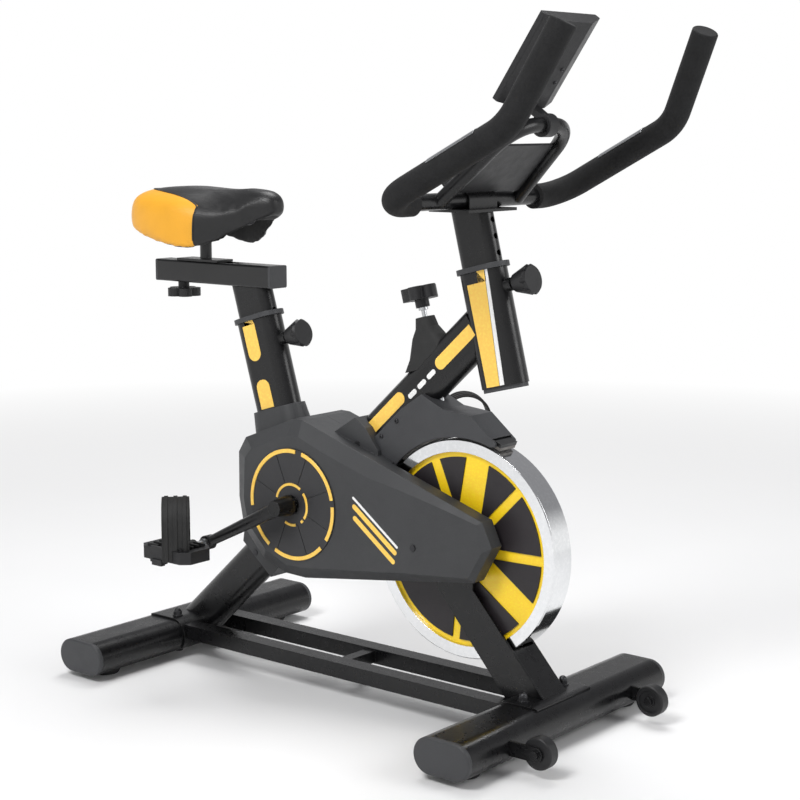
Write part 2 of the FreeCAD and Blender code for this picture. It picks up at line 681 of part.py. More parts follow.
guard_rear = [(104.9, 385.1), (77.0, 395.0), (76.5, 407.0), (63.5, 426.0)]
guard_top = [(119.3, 478.0), (159.5, 505.0), (200.4, 486.1), (253.8, 480.9), (300.0, 443.5),
             (298.8, 437.8)]
guard_outline = guard_rear + guard_top + [wheel_point(guard_r - 10.0, 90.0)]


def wheel_sector(r0, r1, a0, a1, half):
    wedge = cyl_y(r1, wheel_x, wheel_z, -half, half)
    wedge = wedge.cut(cyl_y(r0, wheel_x, wheel_z, -half - 1, half + 1))
    return wedge.common(prism_y([(wheel_x, wheel_z), wheel_point(r1 * 2, a0),
                                 wheel_point(r1 * 2, a1)], -half - 1, half + 1))


guard = prism_y(guard_outline, -guard_half, guard_half)
guard_cut = main_bar(main_a, main_b, -300, 460)
guard = guard.cut(cyl_y(guard_r, wheel_x, wheel_z, -100, 100))
guard_hollow = prism_y(inset(guard_outline, 3.0), -guard_half + 3.0, guard_half - 3.0)
guard_hollow = guard_hollow.fuse(wheel_sector(guard_r - 10, guard_r + 12, 72.0, 134.0,
                                              guard_half - 3.0))
guard = guard.cut(guard_hollow)
guard = guard.cut(wheel_sector(guard_r - 12, shoe_top + 2.0, shoe_a0 - 3.0, shoe_a1 + 2.0,
                               shoe_half + 2.0))
guard = guard.cut(guard_cut)
guard = guard.cut(Part.makeCylinder(rod_r + clear, 120.0, wheel_c + brake_up * guard_r, brake_up))
put("flywheel_guard", *[s for s in guard.Solids if s.Volume > 2000.0])


def on_rod(r):
    """Point on the brake rod's line at radius r from the flywheel's axle."""
    return wheel_c + brake_up * r


def star_knob(base, axis, r, height, neck_r, neck_h):
    """Knob with five round lobes, standing on a neck."""
    lobes = [Part.makeCylinder(r * 0.42, height,
                               V(r * 0.58 * math.cos(math.radians(72 * i)),
                                 r * 0.58 * math.sin(math.radians(72 * i)), neck_h))
             for i in range(5)]
    core = Part.makeCylinder(r * 0.72, height, V(0, 0, neck_h))
    neck = Part.makeCylinder(neck_r, neck_h + 1.0)
    knob = fuse(lobes + [core, neck])
    knob.Placement = FreeCAD.Placement(base, FreeCAD.Rotation(V(0, 0, 1), axis))
    return knob


rod_low, knob_low, knob_h = 189.0, 376.0, 20.0
rod = Part.makeCylinder(rod_r, knob_low + 10.0 - rod_low, on_rod(rod_low), brake_up)
rod = rod.fuse(Part.makeCylinder(7.5, 4.0, on_rod(knob_low - 4.0), brake_up)).removeSplitter()
put("brake_rod", rod)
brake_knob = star_knob(on_rod(knob_low + clear), brake_up, 29.0, knob_h, 11.0, 12.0)
brake_knob = brake_knob.cut(Part.makeCylinder(rod_r + slide_gap, 11.0 + 0.1,
                                              on_rod(knob_low - 1.0), brake_up))
put("brake_knob", brake_knob)
shoe = wheel_sector(shoe_r, shoe_top, shoe_a0, shoe_a1, shoe_half)
shoe = shoe.fuse(Part.makeCylinder(10.0, 24.0, on_rod(shoe_r + 2.0), brake_up)).removeSplitter()
shoe = shoe.cut(Part.makeCylinder(rod_r + slide_gap, 60.0, on_rod(rod_low - 5.0), brake_up))
put("brake_shoe", shoe)
put("brake_pad", wheel_sector(pad_r, shoe_r, shoe_a0, shoe_a1, shoe_half - 1.0))


def translated(shape, z):
    out = shape.copy()
    out.translate(V(0, 0, z))
    return out


def boot():
    """Rubber boot round the rod, flaring onto the top of the main tube."""
    sections = ((361.0, 30.0, 29.0), (345.0, 38.0, 30.0), (331.0, 58.0, 32.0),
                (301.0, 84.0, 34.0), (283.0, 112.0, 35.0))
    wires = []
    for r, a, b in sections:
        wires.append(lean(translated(stadium_face(a, b), r), (wheel_x, wheel_z),
                          brake_tilt).OuterWire)
    body = Part.makeLoft(wires, True, True)
    body = body.cut(main_bar(main_a, main_b, -300, 460))
    body = body.cut(Part.makeCylinder(rod_r + clear, 200, on_rod(260), brake_up))
    return max(body.Solids, key=lambda s: s.CenterOfMass.z)


put("brake_boot", boot())

# ---- covers ---------------------------------------------------------------------------
cover_face = [(-176.0, 372.2), (-160.4, 390.2), (-81.7, 419.2), (-56.8, 420.1), (84.6, 367.4),
              (284.8, 318.7), (288.2, 276.4), (270.2, 249.3), (171.9, 233.5), (-42.4, 207.7),
              (-84.8, 206.3), (-131.7, 225.4), (-170.8, 263.9), (-179.0, 304.2)]
cover_rim = [(-202.5, 378.0), (-186.0, 404.0), (-78.0, 446.0), (-59.8, 445.4), (92.0, 396.5),
             (300.0, 329.5), (318.2, 292.0), (286.0, 234.5), (172.0, 218.3), (-55.0, 187.0),
             (-100.0, 188.5), (-148.0, 206.0), (-193.0, 252.0), (-203.0, 303.0)]
rim_y = 58.0                            # where the cover's bevel ends
inner_y = fork_y + 3.0                          # inner edge of the covers beside the flywheel
tube_wrap = [(-15.8, 426.0), (32.5, 456.7), (54.4, 442.2), (79.3, 408.6), (81.1, 385.0),
             (0.0, 400.0)]
leg_wrap = [(-223.1, 218.0), (-159.7, 165.3), (-125.0, 205.0), (-185.0, 290.0),
            (-215.8, 268.6)]
wrap_y, leg_y = 36.0, 30.0
collar_top = 181.0                      # along the seat tube


def outline_wire(points, y):
    corners = [V(x, y, z) for x, z in points]
    return Part.makePolygon(corners + corners[:1])


def seat_skirt(d):
    """Skirt of the cover round the seat tube, widening downwards."""
    low = lean(translated(stadium_face(seat_a + 30 - 2 * d, seat_b + 28 - 2 * d), 110.0),
               (seat_foot_x, seat_foot_z), seat_tilt).OuterWire
    high = lean(translated(stadium_face(seat_a + 12 - 2 * d, seat_b + 12 - 2 * d),
                           collar_top - d), (seat_foot_x, seat_foot_z), seat_tilt).OuterWire
    return Part.makeLoft([low, high], True, True)


def face_facet(low, high, tip, d):
    """Block that trims the cover's face beyond the crease from low to high, down to tip."""
    size = 900.0
    p, q, r = V(low[0], -cover_y, low[1]), V(high[0], -cover_y, high[1]), V(*tip)
    along = (q - p).normalize()
    out = along.cross(r - p).normalize()
    if out.y > 0:
        out = out * -1
    block = Part.makeBox(size, size, size, V(-size / 2, -size / 2, 0))
    turn = FreeCAD.Rotation(along, out.cross(along), out, "ZXY")
    block.Placement = FreeCAD.Placement(p - out * d, turn).multiply(block.Placement)
    return block


crease_top, crease_mid, crease_low = (62.0, 350.0), (180.0, 262.0), (163.0, 233.0)
facet_depth = 7.0
upper_tip = (288.0, -cover_y + facet_depth, 305.0)
lower_tip = (272.0, -cover_y + facet_depth, 246.0)


def cover_solid(d, y_in):
    """Filled right cover with every outer face moved inwards by d, reaching to y_in."""
    face, rim_line = inset(cover_face, d), inset(cover_rim, d)
    bevel = Part.makeLoft([outline_wire(face, -cover_y + d), outline_wire(rim_line, -rim_y)],
                          True, True)
    for low, high, tip in ((crease_mid, crease_top, upper_tip),
                           (crease_low, crease_mid, lower_tip)):
        bevel = bevel.cut(face_facet(low, high, tip, d))
    side = prism_y(rim_line, -rim_y, y_in)
    wrap = prism_y(inset(tube_wrap, d), -wrap_y + d, y_in)
    leg = prism_y(inset(leg_wrap, d), -leg_y + d, y_in)
    skirt = seat_skirt(d).common(box(-400, 100, -100, y_in, 0, 900))
    return bevel.fuse([side, wrap, leg, skirt])


screw_r, screw_head_r = 2.0, 5.0


def cover_screw(x, z, y):
    """Pan head screw whose head is sunk halfway into the cover's face."""
    return cyl_y(screw_head_r, x, z, -y - 1.0, -y + 1.5).fuse(
        cyl_y(screw_r, x, z, -y + 1.0, -y + 8.0)).removeSplitter()


seam_y = -0.25                          # the two covers meet at the middle
cover_screws = ((178.6, 274.3, cover_y), (38.0, 414.7, wrap_y), (-195.0, 202.0, leg_y))
cover = cover_solid(0.0, seam_y).cut(cover_solid(cover_wall, 5.0))
cover = cover.cut(seat_bar(seat_a, seat_b, -100, 400))
cover = cover.cut(main_bar(main_a, main_b, -400, 460))
cover = cover.cut(cyl_y(wheel_r + 8.0, wheel_x, wheel_z, -inner_y, 5.0))
guard_clear = prism_y(inset(guard_outline, -clear), -guard_half - clear, 5.0)
cover = cover.cut(guard_clear)
cover = cover.cut(cyl_y(14.0, crank_x, crank_z, -100, -60))
cover = cover.common(box(-400, 400, -cover_y - 1, seam_y, 0, 900))
for spot in cover_screws:
    cover = cover.cut(cover_screw(*spot))
right_cover = max(cover.Solids, key=lambda s: s.Volume)
put("right_cover", right_cover)
put("left_cover", mirrored(right_cover))


put("panel_screws", *[s for spot in cover_screws for s in both_sides(cover_screw(*spot))])
rosette_r = 91.8


def rosette():
    """Round trim plate on the cover, with eight shallow grooves."""
    plate = ring_y(rosette_r, 16.0, crank_x, crank_z, -cover_y - 2.0, -cover_y)
    for i in range(8):
        groove = box(crank_x + 34, crank_x + rosette_r + 5, -cover_y - 3, -cover_y - 1.0,
                     crank_z - 1.0, crank_z + 1.0)
        groove.rotate(V(crank_x, 0, crank_z), V(0, 1, 0), 22.5 + 45 * i)
        plate = plate.cut(groove)
    return plate


put("cover_rosettes", *both_sides(rosette()))

# ---- pull pins ------------------------------------------------------------------------
pin_knob_l, pin_knob_r = 32.0, 23.5


def pull_pin(foot_pt, up, fwd, a, s):
    """Pin with a fluted cone knob, its tip just short of the post inside the tube."""
    base = pin_line(foot_pt, up, s)
    tip = a / 2 - tube_wall - sleeve_t + 0.25
    knob_start = a / 2 + 15.0
    shank = Part.makeCylinder(pin_r, knob_start - tip + 5.0, V(0, 0, tip))
    knob = Part.makeCone(14.0, pin_knob_r, pin_knob_l - 4.0, V(0, 0, knob_start))
    knob = knob.fuse(Part.makeCone(pin_knob_r, pin_knob_r - 3.0, 4.0,
                                   V(0, 0, knob_start + pin_knob_l - 4.0)))
    for i in range(8):
        t = math.radians(45.0 * i)
        flute = V((pin_knob_r + 2.0) * math.cos(t), (pin_knob_r + 2.0) * math.sin(t), knob_start)
        knob = knob.cut(Part.makeCylinder(5.0, pin_knob_l + 10.0, flute))
    pin = shank.fuse(knob).removeSplitter()
    pin.Placement = FreeCAD.Placement(base, FreeCAD.Rotation(V(0, 0, 1), fwd))
    return pin


put("seat_pin", pull_pin(seat_foot, seat_up, seat_fwd, seat_a, seat_pin_s))
put("head_pin", pull_pin(head_foot, head_up, head_fwd, head_a, head_pin_s))

# ---- seat post, beam and saddle -------------------------------------------------------
beam_z0 = 647.0
beam_z1 = beam_z0 + beam_h
beam_rear_x = beam_front_x - beam_len
beam_wall = 2.5
beam_cap = 5.0
fit = 2 * (tube_wall + sleeve_t + slide_gap)


def post(bar, foot_pt, up, fwd, a, b, s0, s1, first_hole, holes):
    """Sliding oval post with a row of holes in front for the pull pin."""
    body = bar(a - fit, b - fit, s0, s1)
    body = body.cut(bar(a - fit - 4.0, b - fit - 4.0, s0 - 1, s1 + 1))
    for i in range(holes):
        spot = pin_line(foot_pt, up, first_hole + i * post_hole_pitch)
        body = body.cut(Part.makeCylinder(post_hole_r, a, spot, fwd))
    return body


seat_post_low = seat_tube_len + collar_h + seat_post_show - seat_post_len
seat_post = post(seat_bar, seat_foot, seat_up, seat_fwd, seat_a, seat_b, seat_post_low,
                 seat_tube_len + 120, seat_pin_s - 6 * post_hole_pitch, 9)
seat_post = seat_post.cut(box(-500, 300, -100, 100, beam_z0, 900))
put("seat_post", seat_post)

slot_half, slot_x0, slot_x1 = 9.05, -393.0, -246.0
back_travel, front_travel = 15.0, 45.0  # the saddle slides this far each way
slider_x = -331.0                       # saddle post
knob_x = -386.6
stud_r = 5.0
bar_top = beam_z1 - beam_wall - slide_gap
bar_low = bar_top - 6.0


def seat_beam():
    """Box beam with a slot along its top for the saddle and one below for the knob."""
    beam = box(beam_rear_x, beam_front_x, -beam_w / 2, beam_w / 2, beam_z0, beam_z1)
    beam = beam.makeFillet(4.0, [e for e in beam.Edges if abs(e.tangentAt(0).x) > 0.9])
    hollow = box(beam_rear_x - 1, beam_front_x + 1, -beam_w / 2 + beam_wall,
                 beam_w / 2 - beam_wall, beam_z0 + beam_wall, beam_z1 - beam_wall)
    beam = beam.cut(hollow)
    slot = box(slot_x0, slot_x1, -slot_half, slot_half, beam_z1 - beam_wall - 1, beam_z1 + 1)
    low_slot = box(knob_x - back_travel - stud_r - 1, knob_x + front_travel + stud_r + 1,
                   -stud_r - 0.3, stud_r + 0.3, beam_z0 - 1, beam_z0 + beam_wall + 1)
    return beam.cut(slot).cut(low_slot)


put("seat_beam", seat_beam())


def beam_cap_piece(x, inward):
    """Plastic cap closing one end of the beam; inward is +1 or -1 along X."""
    x0, x1 = sorted((x, x - inward * beam_cap))
    cap = box(x0, x1, -beam_w / 2, beam_w / 2, beam_z0, beam_z1)
    cap = cap.makeFillet(3.0, [e for e in cap.Edges if abs(e.tangentAt(0).x) > 0.9])
    p0, p1 = sorted((x, x + inward * 12.0))
    plug = box(p0, p1, -beam_w / 2 + beam_wall, beam_w / 2 - beam_wall, beam_z0 + beam_wall,
               beam_z1 - beam_wall)
    return cap.fuse(plug).removeSplitter()


put("beam_end_caps", beam_cap_piece(beam_rear_x, 1), beam_cap_piece(beam_front_x, -1))

stud_low = beam_z0 - 20.0
stud = cyl(stud_r, bar_low + 4.0 - stud_low, (knob_x, 0, stud_low), (0, 0, 1))
slider_knob = star_knob(V(knob_x, 0, beam_z0 - clear), V(0, 0, -1), 29.0, 14.0, 9.5, 11.0)
put("slider_knob", slider_knob.fuse(stud).removeSplitter())

plate_z0 = beam_z1 + slide_gap
eye_z, eye_r = 738.0, 13.0
post_r = 10.0
eye_half = 10.0
clamp_bolt_r = 4.0


def saddle_slider():
    """Slide bar in the beam, neck through the slot, plate on top and the saddle's post."""
    bar = box(-401.0, -286.0, -15.0, 15.0, bar_low, bar_top)
    bar = bar.cut(cyl(stud_r + slide_gap, 5.0, (knob_x, 0, bar_low - 1.0), (0, 0, 1)))
    neck = box(-383.0 + 6, -292.0, -9.0, 9.0, bar_top, plate_z0)
    plate = box(-383.0, -286.0, -19.0, 19.0, plate_z0, plate_z0 + 4.0)
    stem = cyl(post_r, eye_z - plate_z0 - 2.0, (slider_x, 0, plate_z0 + 2.0), (0, 0, 1))
    eye = cyl_y(eye_r, slider_x, eye_z, -eye_half, eye_half)
    body = fuse([bar, neck, plate, stem, eye])
    return body.cut(cyl_y(clamp_bolt_r + slide_gap, slider_x, eye_z, -50, 50))


put("saddle_slider", saddle_slider())

rail_r, rail_side, rail_height = 3.5, 22.0, 750.0
cushion_floor = 766.0
base_t = 4.0


def saddle_clamp():
    """Two cheeks beside the post's eye, holding the rails, and the bolt through them."""
    y0, y1 = eye_half + clear, 29.0
    cheek = cyl_y(17.0, slider_x, eye_z, y0, y1)
    cheek = cheek.cut(cyl(rail_r, 100, (slider_x - 50, rail_side, rail_height), (1, 0, 0)))
    bolt = cyl_y(clamp_bolt_r, slider_x, eye_z, -36.0, 36.0)
    parts = [cheek, mirrored(cheek), bolt]
    for nut in both_sides(cyl_y(8.0, slider_x, eye_z, y1, y1 + 5.0)):
        parts.append(nut)
    return fuse(parts)


put("saddle_clamp", saddle_clamp())


def saddle_rail(side):
    y = side * rail_side
    top = cushion_floor - base_t
    path = rounded_path([(-402.0, y, top), (-388.0, y, rail_height), (-245.0, y, rail_height),
                         (-231.0, y, top)], [10.0, 10.0])
    return pipe(path, rail_r).common(box(-600, 0, -100, 100, 0, top))


put("saddle_rails", saddle_rail(-1), saddle_rail(1))

# x, half width, top and lower edge of the saddle's cross-sections
saddle_sections = ((-451.0, 52.0, 786.0, 744.0), (-434.0, 75.0, 799.0, 736.0),
                   (-398.0, 88.0, 805.0, 724.0), (-352.0, 91.0, 805.0, 713.0),
                   (-310.0, 85.0, 803.0, 707.0), (-271.0, 68.0, 802.0, 711.0),
                   (-224.0, 44.0, 804.0, 733.0), (-188.0, 28.0, 806.0, 753.0),
                   (-170.0, 21.0, 802.0, 763.0), (-157.0, 12.0, 789.0, 770.0))
crown = ((1.0, 0.0), (0.985, 0.42), (0.88, 0.78), (0.55, 0.96), (0.0, 1.0))


def saddle_wire(x, w, top, low):
    half = [V(x, w * u, low + (top - low) * v) for u, v in crown]
    other = [V(p.x, -p.y, p.z) for p in reversed(half[:-1])]
    curve = Part.BSplineCurve()
    curve.interpolate(half + other)
    bottom = Part.LineSegment(V(x, -w, low), V(x, w, low)).toShape()
    return Part.Wire([curve.toShape(), bottom])


skin_t = 9.0                            # the cushion's rim round the hollow underside


def saddle_hollow(extra):
    """Room under the cushion, with its sides moved inwards by extra."""
    wires = []
    for x, w, top, low in saddle_sections[1:-2]:
        half = w - skin_t - extra
        corners = [V(x, -half, 680.0), V(x, half, 680.0), V(x, half, cushion_floor),
                   V(x, -half, cushion_floor)]
        wires.append(Part.makePolygon(corners + corners[:1]))
    return Part.makeLoft(wires, True, True)


cushion = Part.makeLoft([saddle_wire(*row) for row in saddle_sections], True, False)
put("saddle_cushion", cushion.cut(saddle_hollow(0.0)))
put("saddle_base", saddle_hollow(0.6).common(
    box(-440.0, -190.0, -200, 200, cushion_floor - base_t, cushion_floor)))

# ---- handlebar ------------------------------------------------------------------------
bar_post = post(head_bar, head_foot, head_up, head_fwd, head_a, head_b,
                bar_post_top - bar_post_len, bar_post_top + 60, 71.0, 8)
cross_x, cross_z = 240.0, 803.0
cradle_t = 4.5
cradle_z = cross_z - bar_r - cradle_t
bar_post = bar_post.cut(box(0, 600, -100, 100, cradle_z, 1200))
bar_tip, bar_bend = (517.0, 182.8, 1042.0), (452.0, 209.0, 912.0)
bar_corner = (cross_x, 217.0, cross_z)


def flip_y(p):
    return (p[0], -p[1], p[2])


def bar_path(inner_y_end):
    """From the left tip to the cross tube at y = inner_y_end."""
    return rounded_path([bar_tip, bar_bend, bar_corner, (cross_x, inner_y_end, cross_z)],
                        [75.0, 48.0])


full_path = rounded_path([bar_tip, bar_bend, bar_corner, flip_y(bar_corner), flip_y(bar_bend),
                          flip_y(bar_tip)], [75.0, 48.0, 48.0, 75.0])
bar_solid = pipe(full_path, bar_r)
bar_inner = pipe(full_path, bar_r - tube_wall)
put("handlebar_tube", bar_solid.cut(bar_inner))
grip_end_y = 150.0
grip_solid = pipe(bar_path(grip_end_y), grip_r)
tip_dir = V(*bar_tip) - V(*bar_bend)
tip_dir.normalize()
tip_cap = Part.makeCylinder(grip_r, 6.0, V(*bar_tip), tip_dir)
tip_cap = tip_cap.makeFillet(3.0, [max(tip_cap.Edges, key=lambda e: e.CenterOfMass.z)])
left_grip = grip_solid.cut(pipe(bar_path(grip_end_y - 20), bar_r))
put("handlebar_grips", *both_sides(left_grip), *both_sides(tip_cap))
run_dir = V(*bar_bend) - V(*bar_corner)
run_dir.normalize()


def pulse_plate():
    """Steel contact plate curved over the upper side of the left grip."""
    start = V(*bar_corner) + run_dir * 105.0
    wedge = Part.makeCylinder(grip_r + 0.8, 88.0, V(0, 0, 0), V(0, 0, 1), 100)
    wedge = wedge.cut(Part.makeCylinder(grip_r, 90.0, V(0, 0, -1)))
    wedge.rotate(V(0, 0, 0), V(0, 0, 1), -50)
    up = V(-run_dir.z, 0, run_dir.x)
    wedge.Placement = FreeCAD.Placement(start, FreeCAD.Rotation(up, run_dir.cross(up), run_dir,
                                                                "ZXY")).multiply(wedge.Placement)
    return wedge


put("pulse_sensors", *both_sides(pulse_plate()))


def bar_cradle():
    """Plate on the post under the bar, and a clamp saddle over it."""
    plate = box(cross_x - 40.0, cross_x + 34.0, -60.0, 60.0, cradle_z, cross_z - bar_r)
    ridge = box(cross_x - 16.0, cross_x + 16.0, -34.0, 34.0, cross_z - bar_r, cross_z)
    shell = cyl_y(16.0, cross_x, cross_z, -34.0, 34.0).fuse(ridge).fuse(plate)
    return shell.removeSplitter().cut(cyl_y(bar_r, cross_x, cross_z, -100, 100))


put("handlebar_post", bar_post, bar_cradle())
stay_r = 11.0
apex_x, apex_z = 366.0, 912.5
stay_foot = (cross_x + 8.0, 96.0, cross_z)
stay_head = (apex_x, 72.0, apex_z)
stay_path = rounded_path([stay_foot, stay_head, flip_y(stay_head), flip_y(stay_foot)],
                         [58.0, 58.0])
console_stay = pipe(stay_path, stay_r).cut(cyl_y(bar_r, cross_x, cross_z, -200, 200))
put("console_stay", max(console_stay.Solids, key=lambda s: s.Volume))


def tray():
    """Thin holder between the stay's legs, with a lip at its lower edge."""
    a = math.atan2(apex_z - cross_z, apex_x - stay_foot[0])
    along, normal = V(math.cos(a), 0, math.sin(a)), V(-math.sin(a), 0, math.cos(a))
    start = V(stay_foot[0], 0, cross_z) + along * 18.0
    corners = [start, start + along * 100, start + along * 100 + normal * 4, start + normal * 4]
    plate = prism_y([(p.x, p.z) for p in corners], -stay_foot[1] - 4, stay_foot[1] + 4)
    lip_c = [start, start + along * 4, start + along * 4 + normal * 30, start + normal * 30]
    lip = prism_y([(p.x, p.z) for p in lip_c], -stay_foot[1] + 4, stay_foot[1] - 4)
    both = plate.fuse(lip).removeSplitter()
    both = both.cut(pipe(stay_path, stay_r)).cut(bar_cradle())
    return max(both.Solids, key=lambda s: s.Volume)


put("book_tray", tray())

# ---- console --------------------------------------------------------------------------
console_tilt = -34.8
console_foot = (339.0, 939.0)
console_w, console_h, console_t = 138.0, 144.0, 22.0


def console_place(shape):
    return lean(shape, console_foot, console_tilt)


def rounded_block(x0, x1, w, z0, z1, r):
    body = box(x0, x1, -w / 2, w / 2, z0, z1)
    return body.makeFillet(r, [e for e in body.Edges if abs(e.tangentAt(0).x) > 0.9])



def console_local(x, z):
    """Point of the frame in the console's own upright axes, as (forward, up)."""
    a = math.radians(console_tilt)
    dx, dz = x - console_foot[0], z - console_foot[1]
    return (dx * math.cos(a) + dz * math.sin(a), -dx * math.sin(a) + dz * math.cos(a))


eye_x_local, eye_z_local = console_local(apex_x, apex_z)
hinge_r = 17.0


console_back, console_back_half = 4.0, 30.0     # flat middle of the console's back
console_rim = 10.0                              # depth of its upright side walls


def console_shell():
    """Block with upright side walls and a back that slopes in to a flat middle strip."""
    half = console_w / 2
    side = [(-console_t, half), (console_rim - console_t, half), (console_back, console_back_half)]
    outline = side + [(x, -y) for x, y in reversed(side)]
    corners = [V(x, y, 0) for x, y in outline]
    block = Part.Face(Part.makePolygon(corners + corners[:1])).extrude(V(0, 0, console_h))
    return block.makeFillet(2.5, [e for e in block.Edges if abs(e.tangentAt(0).z) > 0.9])


def console_housing():
    shell = console_shell()
    pocket = rounded_block(-console_t - 1, -console_t + 3.0, console_w - 12, 6.0,
                           console_h - 6.0, 5.0)
    shell = shell.cut(pocket)
    arm = box(-1.0, eye_x_local, -11.0, 11.0, eye_z_local - 10.0, eye_z_local + 12.0)
    arm = arm.common(box(-1, 60, -11, 11, -4.0, 40))
    body = console_place(fuse([shell, arm])).fuse(cyl_y(hinge_r, apex_x, apex_z, -11.0, 11.0))
    return body.removeSplitter().cut(cyl_y(stay_r + slide_gap, apex_x, apex_z, -60, 60))


button_z, button_r = 26.0, 9.0
screen_cut = rounded_block(-console_t - 1, -console_t + 1.0, 96.0, 52.0, 126.0, 6.0)
bezel = rounded_block(-console_t, -console_t + 3.0, console_w - 12, 6.0, console_h - 6.0, 5.0)
button_hole = cyl(button_r + slide_gap, 10, (-console_t - 5, 0, button_z), (1, 0, 0))
screen = rounded_block(-console_t, -console_t + 1.0, 96.0, 52.0, 126.0, 6.0)
button = cyl(button_r, 4.4, (-console_t - 3.0, 0, button_z), (1, 0, 0))
button_well = cyl(button_r + slide_gap, 9.0, (-console_t, 0, button_z), (1, 0, 0))
put("console_housing", console_housing().cut(console_place(button_well)))
put("console_front", console_place(bezel.cut(screen_cut).cut(button_hole)))
put("console_screen", console_place(screen))
put("mode_button", console_place(button))

# ---- transport wheels -----------------------------------------------------------------
roller_x, roller_z, roller_r, roller_y = 474.0, 38.4, 24.0, 149.0
roller_w, roller_bolt_r, arm_t = 20.0, 4.0, 4.0
arm_y = roller_y + roller_w / 2 + clear


def transport_wheel():
    y0, y1 = roller_y - roller_w / 2, roller_y + roller_w / 2
    tread = cyl_y(roller_r, roller_x, roller_z, y0, y1)
    tread = tread.makeFillet(3.0, [e for e in tread.Edges if e.Length > 100])
    dish = ring_y(roller_r - 6.0, 9.0, roller_x, roller_z, y0 - 1, y0 + 3.0)
    return tread.cut(dish).cut(cyl_y(roller_bolt_r + slide_gap, roller_x, roller_z, 0, 300))


def transport_bracket():
    """Flat arm welded to the floor tube, and the wheel's bolt through it."""
    arm = box(front_x + 20, roller_x, arm_y, arm_y + arm_t, roller_z - 11, roller_z + 11)
    arm = arm.fuse(cyl_y(11.0, roller_x, roller_z, arm_y, arm_y + arm_t))
    arm = arm.cut(floor_oval(front_x, 0, 0, half_w))
    y0 = roller_y - roller_w / 2
    bolt = cyl_y(roller_bolt_r, roller_x, roller_z, y0 - 2.0, arm_y + arm_t + 4.0)
    head = cyl_y(7.0, roller_x, roller_z, y0 - clear - 4.0, y0 - clear)
    nut = cyl_y(6.5, roller_x, roller_z, arm_y + arm_t, arm_y + arm_t + 5.0)
    whole = fuse([arm, bolt, head, nut])
    return max(whole.Solids, key=lambda s: s.Volume)


left_roller = transport_wheel()
put("left_transport_wheel", left_roller)
put("right_transport_wheel", mirrored(left_roller))
put("transport_brackets", *both_sides(transport_bracket()))


# ---- export ---------------------------------------------------------------------------
def finish():
    """Centre the bike over the origin and write one file for each node."""
    os.makedirs("parts", exist_ok=True)
    for name, shapes in nodes.items():
        solids = [solid for shape in shapes for solid in shape.Solids]
        whole = solids[0] if len(solids) == 1 else Part.makeCompound(solids)
        whole.translate(V(-origin_x, 0, 0))
        whole.exportStep("parts/" + name + ".step")


finish()
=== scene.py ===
"""Exercise bike: finishes, decals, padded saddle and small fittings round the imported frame."""
import json
import math

import bmesh
import bpy
from mathutils import Matrix, Vector
from mathutils.bvhtree import BVHTree


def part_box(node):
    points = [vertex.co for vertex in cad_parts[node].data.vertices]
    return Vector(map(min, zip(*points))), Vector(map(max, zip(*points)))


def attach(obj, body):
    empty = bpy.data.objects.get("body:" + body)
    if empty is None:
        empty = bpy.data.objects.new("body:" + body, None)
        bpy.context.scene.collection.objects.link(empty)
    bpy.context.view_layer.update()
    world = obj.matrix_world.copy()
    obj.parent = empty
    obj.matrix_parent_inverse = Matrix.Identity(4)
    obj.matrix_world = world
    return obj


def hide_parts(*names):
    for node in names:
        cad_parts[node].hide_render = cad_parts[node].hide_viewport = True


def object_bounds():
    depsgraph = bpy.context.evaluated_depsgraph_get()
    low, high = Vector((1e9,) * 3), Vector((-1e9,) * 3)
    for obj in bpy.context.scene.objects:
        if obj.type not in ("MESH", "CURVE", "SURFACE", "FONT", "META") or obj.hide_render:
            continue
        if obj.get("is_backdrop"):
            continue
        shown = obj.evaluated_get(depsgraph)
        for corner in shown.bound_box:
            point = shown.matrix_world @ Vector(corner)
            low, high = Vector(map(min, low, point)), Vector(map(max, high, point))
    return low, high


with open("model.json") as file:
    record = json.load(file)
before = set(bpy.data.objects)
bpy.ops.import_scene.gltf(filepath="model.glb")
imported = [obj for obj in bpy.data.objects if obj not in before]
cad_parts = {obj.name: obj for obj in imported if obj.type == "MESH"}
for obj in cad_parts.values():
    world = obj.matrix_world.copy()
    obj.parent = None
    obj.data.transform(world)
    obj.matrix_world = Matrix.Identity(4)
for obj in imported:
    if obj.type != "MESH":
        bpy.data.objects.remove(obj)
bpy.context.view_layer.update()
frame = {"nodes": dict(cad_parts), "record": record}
nodes = frame["nodes"]
MM = 0.001

# places below are in mm along the bike, with the flywheel's axle at WHEEL_X
WHEEL_X = 236.9
CRANK_X, CRANK_Z = -70.0, 308.5
rim_low, rim_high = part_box("flywheel_rim")
SHIFT = WHEEL_X * MM - (rim_low.x + rim_high.x) / 2


def point(x, y, z):
    """Place in the frame, in metres, of a point in mm along the bike."""
    return Vector((x * MM - SHIFT, y * MM, z * MM))


# ---- materials ------------------------------------------------------------------------
def link(mat, a, b):
    mat.node_tree.links.new(a, b)


def node(mat, kind, **inputs):
    n = mat.node_tree.nodes.new(kind)
    for key, value in inputs.items():
        n.inputs[key.replace("_", " ")].default_value = value
    return n


def noise(mat, coords, scale, detail=3.0, rough=0.55):
    n = node(mat, "ShaderNodeTexNoise", Scale=scale, Detail=detail, Roughness=rough)
    link(mat, coords, n.inputs["Vector"])
    return n.outputs["Fac"]


def math_node(mat, op, a, b=None):
    n = mat.node_tree.nodes.new("ShaderNodeMath")
    n.operation = op
    for i, v in enumerate((a, b)):
        if v is None:
            continue
        if isinstance(v, (int, float)):
            n.inputs[i].default_value = v
        else:
            link(mat, v, n.inputs[i])
    return n.outputs[0]


